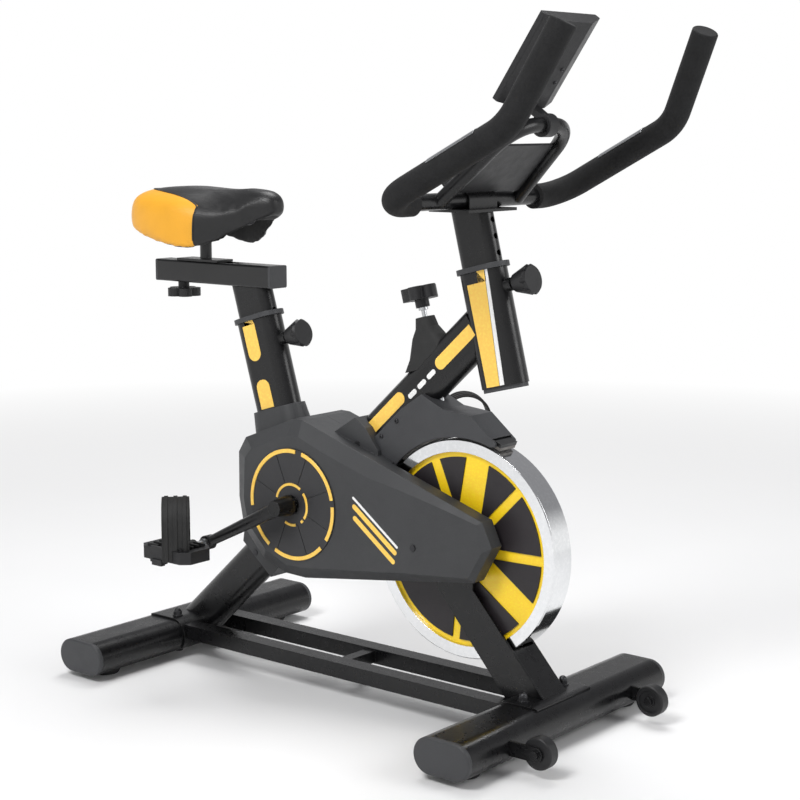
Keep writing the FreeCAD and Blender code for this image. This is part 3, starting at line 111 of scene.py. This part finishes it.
def span(mat, value, low, high, to_low, to_high):
    n = mat.node_tree.nodes.new("ShaderNodeMapRange")
    link(mat, value, n.inputs["Value"])
    for key, v in (("From Min", low), ("From Max", high), ("To Min", to_low), ("To Max", to_high)):
        n.inputs[key].default_value = v
    return n.outputs["Result"]


def blend_colour(mat, fac, a, b):
    n = mat.node_tree.nodes.new("ShaderNodeMix")
    n.data_type = "RGBA"
    link(mat, fac, n.inputs[0])
    for socket, v in ((n.inputs[6], a), (n.inputs[7], b)):
        if isinstance(v, tuple):
            socket.default_value = (*v, 1.0)
        else:
            link(mat, v, socket)
    return n.outputs[2]


def shade(colour, k):
    return tuple(min(1.0, c * k) for c in colour)


def finish_material(name, colour, rough, metallic=0.0, vary=0.18, patch=9.0, rough_vary=0.06,
                    grain=0.0, grain_scale=900.0, cells=False, wear=None, coat=0.0,
                    sheen=0.0, stretch=None, soften=0.0007, second=None, specular=0.4):
    """Procedural finish: colour patches, roughness variation, grain bump and worn edges.

    second is (colour, mask function) for a finish whose colour changes across the piece."""
    mat = bpy.data.materials.new(name)
    mat.use_nodes = True
    shader = mat.node_tree.nodes["Principled BSDF"]
    shader.inputs["Metallic"].default_value = metallic
    shader.inputs["Specular IOR Level"].default_value = 0.5 if metallic else specular
    shader.inputs["Coat Weight"].default_value = coat
    shader.inputs["Coat Roughness"].default_value = 0.12
    shader.inputs["Sheen Weight"].default_value = sheen
    coords = mat.node_tree.nodes.new("ShaderNodeTexCoord").outputs["Object"]
    fine = coords
    if stretch:
        mapping = mat.node_tree.nodes.new("ShaderNodeMapping")
        mapping.inputs["Scale"].default_value = stretch
        link(mat, coords, mapping.inputs["Vector"])
        fine = mapping.outputs["Vector"]
    cloud = span(mat, noise(mat, coords, patch), 0.3, 0.7, 0.0, 1.0)
    tint = blend_colour(mat, cloud, shade(colour, 1 - vary), shade(colour, 1 + vary))
    if second:
        other, mask = second
        other_tint = blend_colour(mat, cloud, shade(other, 1 - vary), shade(other, 1 + vary * 0.5))
        tint = blend_colour(mat, mask(mat, coords), tint, other_tint)
    else:
        speck = noise(mat, fine, grain_scale * 0.5, 2.0)
        tint = blend_colour(mat, span(mat, speck, 0.45, 0.8, 0.0, 0.35), tint, shade(colour, 1.6))
    smear = noise(mat, fine, patch * 6, 4.0, 0.6)
    gloss = span(mat, smear, 0.3, 0.7, max(0.02, rough - rough_vary), min(1.0, rough + rough_vary))
    bevel = node(mat, "ShaderNodeBevel", Radius=soften)
    bevel.samples = 4
    normal = bevel.outputs["Normal"]
    if wear:
        flat = mat.node_tree.nodes.new("ShaderNodeNewGeometry")
        edge = mat.node_tree.nodes.new("ShaderNodeVectorMath")
        edge.operation = "DOT_PRODUCT"
        link(mat, bevel.outputs["Normal"], edge.inputs[0])
        link(mat, flat.outputs["Normal"], edge.inputs[1])
        worn = span(mat, edge.outputs["Value"], 0.99, 0.80, 0.0, 0.8)
        worn = math_node(mat, "MULTIPLY", worn,
                         span(mat, noise(mat, coords, 70.0, 4.0, 0.7), 0.5, 0.62, 0.0, 1.0))
        tint = blend_colour(mat, worn, tint, wear)
    if grain:
        if cells:
            source = node(mat, "ShaderNodeTexVoronoi", Scale=grain_scale)
            link(mat, fine, source.inputs["Vector"])
            height = source.outputs["Distance"]
        else:
            height = noise(mat, fine, grain_scale, 3.0)
        bump = node(mat, "ShaderNodeBump", Strength=grain, Distance=0.0004)
        link(mat, height, bump.inputs["Height"])
        link(mat, normal, bump.inputs["Normal"])
        normal = bump.outputs["Normal"]
    link(mat, tint, shader.inputs["Base Color"])
    link(mat, gloss, shader.inputs["Roughness"])
    link(mat, normal, shader.inputs["Normal"])
    return mat


# the saddle's seam comes up each side at SEAM_X and runs back round the shoulder of the crown
SEAM_X, SEAM_LENGTH, SEAM_HALF, SEAM_POWER = -283.0, 142.0, 64.0, 3.0
SEAM_BLEND = 0.015              # softness of the colour edge, as a share of the crown's ring
AMBER_TOP_LOW, AMBER_TOP_HIGH = 0.7595, 0.7605      # below this height it is amber all over, in m


def amber_mask(mat, coords):
    """1 behind the saddle's seam, on its sides and outside its crown, and 0 elsewhere."""
    split = mat.node_tree.nodes.new("ShaderNodeSeparateXYZ")
    link(mat, coords, split.inputs[0])
    behind = math_node(mat, "SUBTRACT", point(SEAM_X, 0, 0).x, split.outputs["X"])
    along = math_node(mat, "DIVIDE", math_node(mat, "MAXIMUM", behind, 0.0), SEAM_LENGTH * MM)
    across = math_node(mat, "DIVIDE", math_node(mat, "ABSOLUTE", split.outputs["Y"]),
                       SEAM_HALF * MM)
    ring = math_node(mat, "ADD", math_node(mat, "POWER", along, SEAM_POWER),
                     math_node(mat, "POWER", across, SEAM_POWER))
    outside = span(mat, ring, 1 - SEAM_BLEND, 1 + SEAM_BLEND, 0.0, 1.0)
    height = span(mat, split.outputs["Z"], AMBER_TOP_LOW, AMBER_TOP_HIGH, 1.0, 0.0)
    outside = math_node(mat, "MAXIMUM", outside, height)
    return math_node(mat, "MULTIPLY", outside, span(mat, behind, -0.0005, 0.0005, 0.0, 1.0))


AMBER, BLACK_VINYL = (0.74, 0.35, 0.022), (0.009, 0.009, 0.0095)
DECAL_AMBER = (0.90, 0.55, 0.09)

finishes = {
    "black_paint": finish_material(
        "satin_black_paint", (0.0045, 0.0045, 0.005), 0.30, vary=0.25, patch=14, grain=0.12,
        grain_scale=700, wear=(0.05, 0.05, 0.053), coat=0.08, soften=0.0015, specular=0.35),
    "grey_plastic": finish_material(
        "moulded_grey_plastic", (0.040, 0.041, 0.044), 0.50, vary=0.12, grain=0.35,
        grain_scale=1400, wear=(0.11, 0.11, 0.115), soften=0.0012),
    "black_plastic": finish_material(
        "moulded_dark_plastic", (0.010, 0.010, 0.011), 0.45, vary=0.12, grain=0.35,
        grain_scale=1400, wear=(0.05, 0.05, 0.053), soften=0.0012),
    "yellow_paint": finish_material(
        "yellow_powder_coat", (0.92, 0.60, 0.012), 0.34, vary=0.06, grain=0.25, grain_scale=600,
        wear=(0.75, 0.60, 0.30), coat=0.3, soften=0.0015),
    "black_panel": finish_material(
        "satin_black_panel", (0.007, 0.007, 0.0075), 0.36, vary=0.2, grain=0.2, grain_scale=800,
        wear=(0.08, 0.08, 0.085), coat=0.15),
    "rim_chrome": finish_material(
        "polished_chrome", (0.78, 0.79, 0.80), 0.10, metallic=1.0, vary=0.04, rough_vary=0.04,
        grain=0.04, grain_scale=400, wear=(0.60, 0.60, 0.62)),
    "steel": finish_material(
        "brushed_steel", (0.50, 0.51, 0.52), 0.30, metallic=1.0, vary=0.10, grain=0.18,
        grain_scale=500, stretch=(1.0, 6.0, 1.0), wear=(0.68, 0.68, 0.70)),
    "rubber": finish_material(
        "moulded_rubber", (0.016, 0.016, 0.016), 0.72, vary=0.2, grain=0.45, grain_scale=1100,
        wear=(0.045, 0.045, 0.045)),
    "foam": finish_material(
        "foam_grip", (0.0075, 0.0075, 0.008), 0.78, vary=0.25, patch=40, grain=0.8,
        grain_scale=750, cells=True, specular=0.3),
    "saddle_cover": finish_material(
        "grained_vinyl", BLACK_VINYL, 0.40, vary=0.06, patch=18, grain=0.45, grain_scale=620,
        cells=True, second=(AMBER, amber_mask), soften=0.0004),
    "screen": finish_material(
        "display_glass", (0.020, 0.026, 0.022), 0.10, vary=0.1, patch=30, rough_vary=0.03,
        coat=0.8),
    "felt": finish_material(
        "brake_felt", (0.12, 0.11, 0.10), 0.95, vary=0.3, patch=80, grain=0.9, grain_scale=900,
        sheen=0.4),
}
rosette_plastic = finish_material(
    "dished_dark_plastic", (0.026, 0.026, 0.028), 0.42, vary=0.1, grain=0.3, grain_scale=1400,
    wear=(0.09, 0.09, 0.095))
flat_panel = finish_material(
    "textured_panel", (0.017, 0.014, 0.016), 0.42, vary=0.15, grain=0.3, grain_scale=900,
    wear=(0.07, 0.06, 0.06))
amber_decal = finish_material(
    "amber_film", DECAL_AMBER, 0.36, vary=0.04, grain=0.06, grain_scale=500, coat=0.3,
    soften=0.0001)
white_decal = finish_material(
    "white_film", (0.80, 0.80, 0.79), 0.38, vary=0.03, grain=0.06, grain_scale=500, coat=0.3,
    soften=0.0001)
thread_finish = finish_material(
    "piping_thread", (0.020, 0.019, 0.018), 0.6, vary=0.2, grain=0.8, grain_scale=900)

cover_plastic = finish_material(
    "fine_textured_cover", (0.036, 0.037, 0.039), 0.50, vary=0.10, grain=0.35, grain_scale=1400,
    wear=(0.085, 0.085, 0.09), soften=0.0015)
dark_steel = finish_material(
    "blackened_steel", (0.045, 0.045, 0.048), 0.34, metallic=0.8, vary=0.15, grain=0.15,
    grain_scale=600, wear=(0.22, 0.22, 0.23))
lining = finish_material(
    "saddle_lining", (0.012, 0.012, 0.012), 0.75, vary=0.2, patch=30, grain=0.5,
    grain_scale=500)
# nodes whose finish differs from their slot's
special = {"cover_rosettes": rosette_plastic, "flywheel_panels": flat_panel,
           "book_tray": finishes["black_plastic"], "panel_screws": dark_steel,
           "base_bolts": dark_steel, "saddle_rails": dark_steel,
           "right_cover": cover_plastic, "left_cover": cover_plastic}
slot_of = {s["node"]: s["material_slot"] for s in frame["record"]["subparts"]}


def paint(obj, mat):
    obj.data.materials.clear()
    obj.data.materials.append(mat)


for name, obj in nodes.items():
    paint(obj, special.get(name) or finishes[slot_of[name]])


# ---- mesh helpers ---------------------------------------------------------------------
def new_object(name, mesh, mat, body):
    obj = bpy.data.objects.new(name, mesh)
    bpy.context.scene.collection.objects.link(obj)
    paint(obj, mat)
    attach(obj, body)
    return obj


def mesh_of(name, verts, faces):
    mesh = bpy.data.meshes.new(name)
    mesh.from_pydata(verts, [], faces)
    mesh.validate()
    bm = bmesh.new()
    bm.from_mesh(mesh)
    bmesh.ops.recalc_face_normals(bm, faces=bm.faces)
    bm.to_mesh(mesh)
    bm.free()
    return mesh


def apply_modifiers(obj):
    """Bake the object's modifiers into its mesh."""
    graph = bpy.context.evaluated_depsgraph_get()
    mesh = bpy.data.meshes.new_from_object(obj.evaluated_get(graph))
    obj.modifiers.clear()
    obj.data = mesh


def smooth(bm, verts, passes):
    """Pull each point towards the middle of its neighbours, the given number of times."""
    for _ in range(passes):
        bmesh.ops.smooth_vert(bm, verts=verts, factor=0.5, use_axis_x=True, use_axis_y=True,
                              use_axis_z=True)


def tree_of(*names):
    """Search tree over the meshes of CAD nodes."""
    verts, faces = [], []
    for name in names:
        mesh = nodes[name].data
        first = len(verts)
        verts += [v.co.copy() for v in mesh.vertices]
        faces += [[first + i for i in f.vertices] for f in mesh.polygons]
    return BVHTree.FromPolygons(verts, faces)


# ---- decals ---------------------------------------------------------------------------
def bar_rows(s0, s1, low, high, round_low=0.0, round_high=0.0, steps=10):
    """Rows (s, u0, u1) of a strip from s0 to s1, its edges at low=(u0, u1) and high=(u0, u1)."""
    marks = {s0, s1}
    for i in range(steps + 1):
        ease = 1 - math.cos(math.pi / 2 * i / steps)
        marks |= {s0 + round_low * ease, s1 - round_high * ease, s0 + (s1 - s0) * i / steps}
    rows = []
    for s in sorted(marks):
        t = (s - s0) / (s1 - s0)
        u0 = low[0] + (high[0] - low[0]) * t
        u1 = low[1] + (high[1] - low[1]) * t
        cut = 0.0
        for r, d in ((round_low, s - s0), (round_high, s1 - s)):
            if r and d < r:
                cut = max(cut, r - math.sqrt(max(0.0, r * r - (r - d) ** 2)))
        cut = min(cut, (u1 - u0) / 2 - 0.2)
        rows.append((s, u0 + cut, u1 - cut))
    return rows


def tube_place(foot_x, foot_z, tilt):
    a = math.radians(tilt)
    return lambda u, s: (foot_x - s * math.sin(a) + u * math.cos(a),
                         foot_z + s * math.cos(a) + u * math.sin(a))


def along_place(x, z, degrees):
    a = math.radians(degrees)
    return lambda u, s: (x + s * math.cos(a) - u * math.sin(a),
                         z + s * math.sin(a) + u * math.cos(a))


LIFT, FILM = 0.30, 0.40          # outer face above the surface, and thickness
RAY_START = 300.0                # beside the bike, from where the films' rays are cast


def decal(name, tree, rows, place, mat, cols=10):
    """Film laid on both sides of the frame, over the rows of a strip."""
    for side, word in ((-1, "right"), (1, "left")):
        verts, faces = [], []
        for s, u0, u1 in rows:
            for i in range(cols + 1):
                x, z = place(u0 + (u1 - u0) * i / cols, s)
                hit = tree.ray_cast(point(x, side * RAY_START, z), Vector((0, -side, 0)))
                spot, normal = (hit[0], hit[1]) if hit[0] else (verts[-1], Vector((0, side, 0)))
                verts.append(spot + normal * LIFT * MM if hit[0] else spot)
        for r in range(len(rows) - 1):
            for i in range(cols):
                a = r * (cols + 1) + i
                faces.append((a, a + 1, a + cols + 2, a + cols + 1))
        mesh = mesh_of(f"{name}_{word}", verts, faces)
        bm = bmesh.new()
        bm.from_mesh(mesh)
        if sum(f.normal.y for f in bm.faces) * side < 0:
            bmesh.ops.reverse_faces(bm, faces=bm.faces)
        bm.to_mesh(mesh)
        bm.free()
        obj = new_object(f"{name}_{word}", mesh, mat, "frame")
        film = obj.modifiers.new("film", "SOLIDIFY")
        film.thickness = FILM * MM
        film.offset = -1
        apply_modifiers(obj)


seat_place = tube_place(-112.5, 275.4, 16.6)
head_place = tube_place(299.4, 527.9, 14.1)
main_place = along_place(CRANK_X, 314.4, 42.5)
seat_tree, head_tree = tree_of("seat_tube"), tree_of("head_tube")
main_tree = tree_of("main_tube", "head_tube")
cover_tree = tree_of("right_cover", "left_cover")

decal("seat_tube_upper_bar", seat_tree,
      bar_rows(264, 331, (-22, 6), (-22, 6), round_low=13), seat_place, amber_decal)
decal("seat_tube_lower_bar", seat_tree,
      bar_rows(183, 231, (-20.5, 9), (-20.5, 9), round_high=13), seat_place, amber_decal)
decal("head_tube_amber_strip", head_tree,
      bar_rows(2, 175, (-20, 4), (-20, 16)), head_place, amber_decal)
decal("head_tube_white_strip", head_tree,
      bar_rows(2, 175, (4.8, 13), (16.8, 22.5)), head_place, white_decal)
decal("main_tube_upper_bar", main_tree,
      bar_rows(344, 436, (-8, 12), (-8, 12), round_low=9.5), main_place, amber_decal)
decal("main_tube_lower_bar", main_tree,
      bar_rows(168, 262, (0, 20), (0, 20), round_high=9.5), main_place, amber_decal)
for i, (start, end) in enumerate(((268.0, 288.0), (293.0, 313.0), (318.0, 338.0))):
    decal(f"main_tube_dash_{i + 1}", main_tree,
          bar_rows(start, end, (-4, 4), (-4, 4), round_low=3.9, round_high=3.9), main_place,
          white_decal, cols=6)
stripe_place = along_place(62.0, 350.0, math.degrees(math.atan2(262.0 - 350.0, 180.0 - 62.0)))
cover_stripes = ((4.0, 118.0, -14.0, 4.0, white_decal), (12.0, 122.0, -26.0, 8.0, amber_decal),
                 (24.0, 128.0, -40.0, 8.0, amber_decal))
for i, (start, end, low, width, film) in enumerate(cover_stripes):
    decal(f"cover_stripe_{i + 1}", cover_tree,
          bar_rows(start, end, (low, low + width), (low, low + width), round_low=width * 0.49,
                   round_high=width * 0.49), stripe_place, film, cols=6)


# ---- rosette rings --------------------------------------------------------------------
ROSETTE_Y = 74.0


def arc_bar(name, r0, r1, a0, a1, side, rise=1.1):
    """Raised arc with softened edges on the rosette's face."""
    edge = 0.5
    profile = ((r0, -0.6), (r0, rise - edge), (r0 + edge, rise), (r1 - edge, rise),
               (r1, rise - edge), (r1, -0.6))
    steps = max(4, int(abs(a1 - a0) / 3))
    verts, faces = [], []
    for k in range(steps + 1):
        a = math.radians(a0 + (a1 - a0) * k / steps)
        for r, h in profile:
            verts.append(point(CRANK_X + r * math.cos(a), side * (ROSETTE_Y + h),
                               CRANK_Z + r * math.sin(a)))
    n = len(profile)
    for k in range(steps):
        for i in range(n):
            j = (i + 1) % n
            faces.append((k * n + i, k * n + j, (k + 1) * n + j, (k + 1) * n + i))
    faces += [tuple(range(n)), tuple(steps * n + i for i in range(n))]
    new_object(name, mesh_of(name, verts, faces), amber_decal, "frame")


outer_arcs = ((84, 188), (12, 75), (-33, 5), (-115, -45), (-155, -125))
inner_arcs = ((55, 165), (-35, 40), (-52, -43), (-115, -75))
for side, word in ((-1, "right"), (1, "left")):
    for i, (a0, a1) in enumerate(outer_arcs):
        arc_bar(f"rosette_outer_arc_{i + 1}_{word}", 84.5, 91.0, a0, a1, side)
    for i, (a0, a1) in enumerate(inner_arcs):
        arc_bar(f"rosette_inner_arc_{i + 1}_{word}", 31.0, 35.5, a0, a1, side)


# ---- screws ---------------------------------------------------------------------------
def screw(name, spot, direction, r, body, mat):
    """Domed screw head with a hexagonal socket, standing on spot."""
    turn = Vector((0, 0, 1)).rotation_difference(direction).to_matrix()
    sides = 24
    rings = ((r, -0.6, False), (r, 0.35 * r, False), (0.86 * r, 0.55 * r, False),
             (0.62 * r, 0.68 * r, False), (0.45 * r, 0.70 * r, True), (0.43 * r, 0.20 * r, True))
    verts, faces = [], []
    for radius, h, hexed in rings:
        for k in range(sides):
            a = 2 * math.pi * k / sides
            turned = a % (math.pi / 3) - math.pi / 6
            fit = math.cos(math.pi / 6) / math.cos(turned) if hexed else 1
            verts.append(spot + turn @ Vector((radius * fit * math.cos(a) * MM,
                                               radius * fit * math.sin(a) * MM, h * MM)))
    for level in range(len(rings) - 1):
        for k in range(sides):
            j = (k + 1) % sides
            faces.append((level * sides + k, level * sides + j,
                          (level + 1) * sides + j, (level + 1) * sides + k))
    faces += [tuple(range(sides)), tuple((len(rings) - 1) * sides + k for k in range(sides))]
    new_object(name, mesh_of(name, verts, faces), mat, body)


GUARD_Y = 27.0
for side, word in ((-1, "right"), (1, "left")):
    for i, (x, z) in enumerate(((110.5, 458.2), (79.6, 431.1))):
        screw(f"guard_screw_{i + 1}_{word}", point(x, side * GUARD_Y, z), Vector((0, side, 0)),
              3.6, "frame", dark_steel)

# the console stands on its foot point, tilted so that its back looks up and forwards
CONSOLE_FOOT, CONSOLE_TILT = (339.0, 939.0), math.radians(-34.8)
console_up = Vector((-math.sin(CONSOLE_TILT), 0, math.cos(CONSOLE_TILT)))
console_back = Vector((math.cos(CONSOLE_TILT), 0, math.sin(CONSOLE_TILT)))
console_origin = point(CONSOLE_FOOT[0], 0, CONSOLE_FOOT[1])
CONSOLE_BACK = 4.0
for i, (y, up) in enumerate(((-20, 44), (20, 44), (-20, 66), (20, 66))):
    spot = console_origin + (console_up * up + console_back * CONSOLE_BACK) * MM
    spot = spot + Vector((0, y * MM, 0))
    screw(f"console_screw_{i + 1}", spot, console_back, 3.0, "console", dark_steel)


# ---- saddle ---------------------------------------------------------------------------
CUSHION_FLOOR = 766.0            # underside of the cushion, over the base
SKIRT_DROP = 6.0                 # the skirt is what hangs this far below the floor
MAX_SWELL = 5.0
VOXEL = 0.004                    # in m
COVER_PASSES, SKIRT_PASSES = 4, 14
CLOTH_FRAMES = 20
PRESSURE = 4
FLOOR_MARGIN = 2.0               # points up to here that face inwards don't swell
LINING_TOP = 1.0                 # and faces up to here that face inwards are lining
DOWNWARD = -0.85                 # normal's Z below which a face looks down


def saddle_shell():
    """The cushion's own shape as an even mesh, drawn in a little by smoothing."""
    mesh = nodes["saddle_cushion"].data.copy()
    obj = bpy.data.objects.new("saddle_cover", mesh)
    bpy.context.scene.collection.objects.link(obj)
    even = obj.modifiers.new("even", "REMESH")
    even.mode = "VOXEL"
    even.voxel_size = VOXEL
    apply_modifiers(obj)
    bm = bmesh.new()
    bm.from_mesh(obj.data)
    smooth(bm, bm.verts, COVER_PASSES)
    skirt = [v for v in bm.verts if v.co.z < (CUSHION_FLOOR - SKIRT_DROP) * MM]
    smooth(bm, skirt, SKIRT_PASSES)
    bm.to_mesh(obj.data)
    bm.free()
    return obj


def inflate(obj):
    """Swell the cover by cloth pressure, and keep each point within MAX_SWELL."""
    rest = [v.co.copy() for v in obj.data.vertices]
    cloth = obj.modifiers.new("cloth", "CLOTH")
    settings = cloth.settings
    settings.quality = 6
    settings.mass = 0.25
    settings.tension_stiffness = 30
    settings.compression_stiffness = 30
    settings.shear_stiffness = 20
    settings.bending_stiffness = 4
    settings.use_pressure = True
    settings.uniform_pressure_force = PRESSURE
    settings.effector_weights.gravity = 0
    cloth.collision_settings.use_collision = False
    scene = bpy.context.scene
    for step in range(1, CLOTH_FRAMES + 1):
        scene.frame_set(step)
    graph = bpy.context.evaluated_depsgraph_get()
    swollen = [v.co.copy() for v in obj.evaluated_get(graph).data.vertices]
    obj.modifiers.clear()
    scene.frame_set(1)
    floor_z = (CUSHION_FLOOR + FLOOR_MARGIN) * MM
    for v, was, now in zip(obj.data.vertices, rest, swollen):
        move = now - was
        turned_in = v.normal.dot(Vector((0, was.y, 0))) < 0
        inside = was.z < floor_z and v.normal.z < 0.3 and turned_in
        room = 0.0 if inside else MAX_SWELL * MM
        if move.length > room:
            move = move.normalized() * room if room else Vector()
        v.co = was + move
    bm = bmesh.new()
    bm.from_mesh(obj.data)
    smooth(bm, bm.verts, COVER_PASSES)
    bm.to_mesh(obj.data)
    bm.free()


saddle = saddle_shell()
inflate(saddle)
subdivide = saddle.modifiers.new("smooth", "SUBSURF")
subdivide.levels = subdivide.render_levels = 1
apply_modifiers(saddle)
for face in saddle.data.polygons:
    face.use_smooth = True
paint(saddle, finishes["saddle_cover"])
saddle.data.materials.append(lining)
# faces under the cushion that look towards its middle line, or down, are lining
spine_rear, spine_front = point(-400.0, 0, 0).x, point(-215.0, 0, 0).x
for face in saddle.data.polygons:
    spine = Vector((min(max(face.center.x, spine_rear), spine_front), 0, face.center.z))
    inward = face.normal.dot(face.center - spine) < 0 or face.normal.z < DOWNWARD
    if face.center.z < (CUSHION_FLOOR + LINING_TOP) * MM and inward:
        face.material_index = 1
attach(saddle, "saddle")
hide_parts("saddle_cushion")

saddle_tree = BVHTree.FromPolygons([v.co.copy() for v in saddle.data.vertices],
                                   [tuple(f.vertices) for f in saddle.data.polygons])
SIDE, ABOVE = "side", "above"
SEAM_STEPS = 12                  # from the side's line to the middle of the crown's rear
BESIDE, OVERHEAD = 200.0, 900.0  # where the seam's rays start
# places (x, y, z) of the seam's left half, SIDE or ABOVE standing for what its ray finds
half_seam = [(SEAM_X, SIDE, z) for z in (714.0, 724.0, 736.0, 748.0, 760.0, 770.0)]
half_seam += [(SEAM_X, y, ABOVE) for y in (80.0, 76.0, 70.0)]
for step in range(SEAM_STEPS + 1):
    a = math.pi / 2 * step / SEAM_STEPS
    half_seam.append((SEAM_X - SEAM_LENGTH * math.sin(a) ** (2 / SEAM_POWER),
                      SEAM_HALF * math.cos(a) ** (2 / SEAM_POWER) if step < SEAM_STEPS else 0.0,
                      ABOVE))


def on_cover(x, y, z, side):
    """Point of the saddle's cover and its normal, met from one side or from above."""
    if y == SIDE:
        hit = saddle_tree.ray_cast(point(x, side * BESIDE, z), Vector((0, -side, 0)))
    else:
        hit = saddle_tree.ray_cast(point(x, side * y, OVERHEAD), Vector((0, 0, -1)))
    return [(hit[0], hit[1])] if hit[0] else []


seam_line = [p for spot in half_seam for p in on_cover(*spot, 1)]
seam_line += [p for spot in reversed(half_seam[:-1]) for p in on_cover(*spot, -1)]


def piping(name, r, mat):
    """Round cord lying on the cover along the seam."""
    curve = bpy.data.curves.new(name, "CURVE")
    curve.dimensions = "3D"
    curve.bevel_depth = r * MM
    curve.bevel_resolution = 3
    curve.use_fill_caps = True
    spline = curve.splines.new("NURBS")
    spline.points.add(len(seam_line) - 1)
    for knot, (near, normal) in zip(spline.points, seam_line):
        knot.co = (*(near + normal * r * 0.3 * MM), 1.0)
    spline.order_u = 3
    spline.use_endpoint_u = True
    obj = bpy.data.objects.new(name, curve)
    bpy.context.scene.collection.objects.link(obj)
    curve.materials.append(mat)
    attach(obj, "saddle")


piping("saddle_seam_piping", 1.2, thread_finish)

# ---- floor, light and camera ----------------------------------------------------------
floor_mat = bpy.data.materials.new("studio_floor")
floor_mat.use_nodes = True
floor_shader = floor_mat.node_tree.nodes["Principled BSDF"]
floor_shader.inputs["Roughness"].default_value = 0.6
floor_coords = floor_mat.node_tree.nodes.new("ShaderNodeTexCoord").outputs["Object"]
link(floor_mat, blend_colour(floor_mat, noise(floor_mat, floor_coords, 1.5),
                             (0.80, 0.80, 0.80), (0.84, 0.84, 0.84)),
     floor_shader.inputs["Base Color"])
# the floor turns into an even glow far from the bike, so it meets the backdrop without a line
distance = floor_mat.node_tree.nodes.new("ShaderNodeVectorMath")
distance.operation = "LENGTH"
link(floor_mat, floor_coords, distance.inputs[0])
glow = node(floor_mat, "ShaderNodeEmission", Strength=1.0)
join = floor_mat.node_tree.nodes.new("ShaderNodeMixShader")
far = span(floor_mat, distance.outputs["Value"], 0.9, 3.6, 0.0, 1.0)
link(floor_mat, far, join.inputs[0])
link(floor_mat, floor_shader.outputs[0], join.inputs[1])
link(floor_mat, glow.outputs[0], join.inputs[2])
link(floor_mat, join.outputs[0], floor_mat.node_tree.nodes["Material Output"].inputs["Surface"])
FLOOR_RADIUS = 60.0
floor_mesh = bpy.data.meshes.new("floor")
floor_bm = bmesh.new()
bmesh.ops.create_circle(floor_bm, cap_ends=True, segments=96, radius=FLOOR_RADIUS)
floor_bm.to_mesh(floor_mesh)
floor_bm.free()
floor = bpy.data.objects.new("floor", floor_mesh)
floor.data.materials.append(floor_mat)
bpy.context.scene.collection.objects.link(floor)
floor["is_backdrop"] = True

world = bpy.data.worlds.new("studio")
world.use_nodes = True
# bright round the horizon and dimmer overhead, like the walls and ceiling of a studio
sky_coords = world.node_tree.nodes.new("ShaderNodeTexCoord").outputs["Generated"]
sky_split = world.node_tree.nodes.new("ShaderNodeSeparateXYZ")
link(world, sky_coords, sky_split.inputs[0])
height = span(world, sky_split.outputs["Z"], 0.10, 0.35, 0.0, 1.0)
link(world, blend_colour(world, height, (1.0, 1.0, 1.0), (0.30, 0.30, 0.31)),
     world.node_tree.nodes["Background"].inputs["Color"])
bpy.context.scene.world = world


def area_light(name, place, target, size, watts):
    data = bpy.data.lights.new(name, "AREA")
    data.shape = "DISK"
    data.size = size
    data.energy = watts
    obj = bpy.data.objects.new(name, data)
    obj.location = place
    obj.rotation_euler = (Vector(target) - Vector(place)).to_track_quat("-Z", "Y").to_euler()
    bpy.context.scene.collection.objects.link(obj)


BIKE_MIDDLE = (0, 0, 0.5)
area_light("key_light", (0.2, -2.4, 3.0), BIKE_MIDDLE, 1.4, 85)
area_light("fill_light", (2.8, 0.8, 1.8), BIKE_MIDDLE, 1.6, 30)
area_light("top_light", (-0.6, 0.9, 3.2), BIKE_MIDDLE, 1.8, 60)

CAMERA_AZ = math.radians(39.396)
CAMERA_TILT = math.radians(8.889)
CAMERA_ROLL = math.radians(-0.06)
CAMERA_PLACE = (1.8079, -2.1383, 0.9192)
forward = Vector((-math.sin(CAMERA_AZ) * math.cos(CAMERA_TILT),
                  math.cos(CAMERA_AZ) * math.cos(CAMERA_TILT), -math.sin(CAMERA_TILT)))
camera_data = bpy.data.cameras.new("camera")
camera_data.sensor_width = 36.0
camera_data.lens = 80.38
camera = bpy.data.objects.new("camera", camera_data)
turn = forward.to_track_quat("-Z", "Y").to_matrix() @ Matrix.Rotation(CAMERA_ROLL, 3, "Z")
camera.matrix_world = Matrix.Translation(CAMERA_PLACE) @ turn.to_4x4()
bpy.context.scene.collection.objects.link(camera)
bpy.context.scene.camera = camera
bpy.context.scene.view_settings.view_transform = "Standard"

low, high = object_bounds()
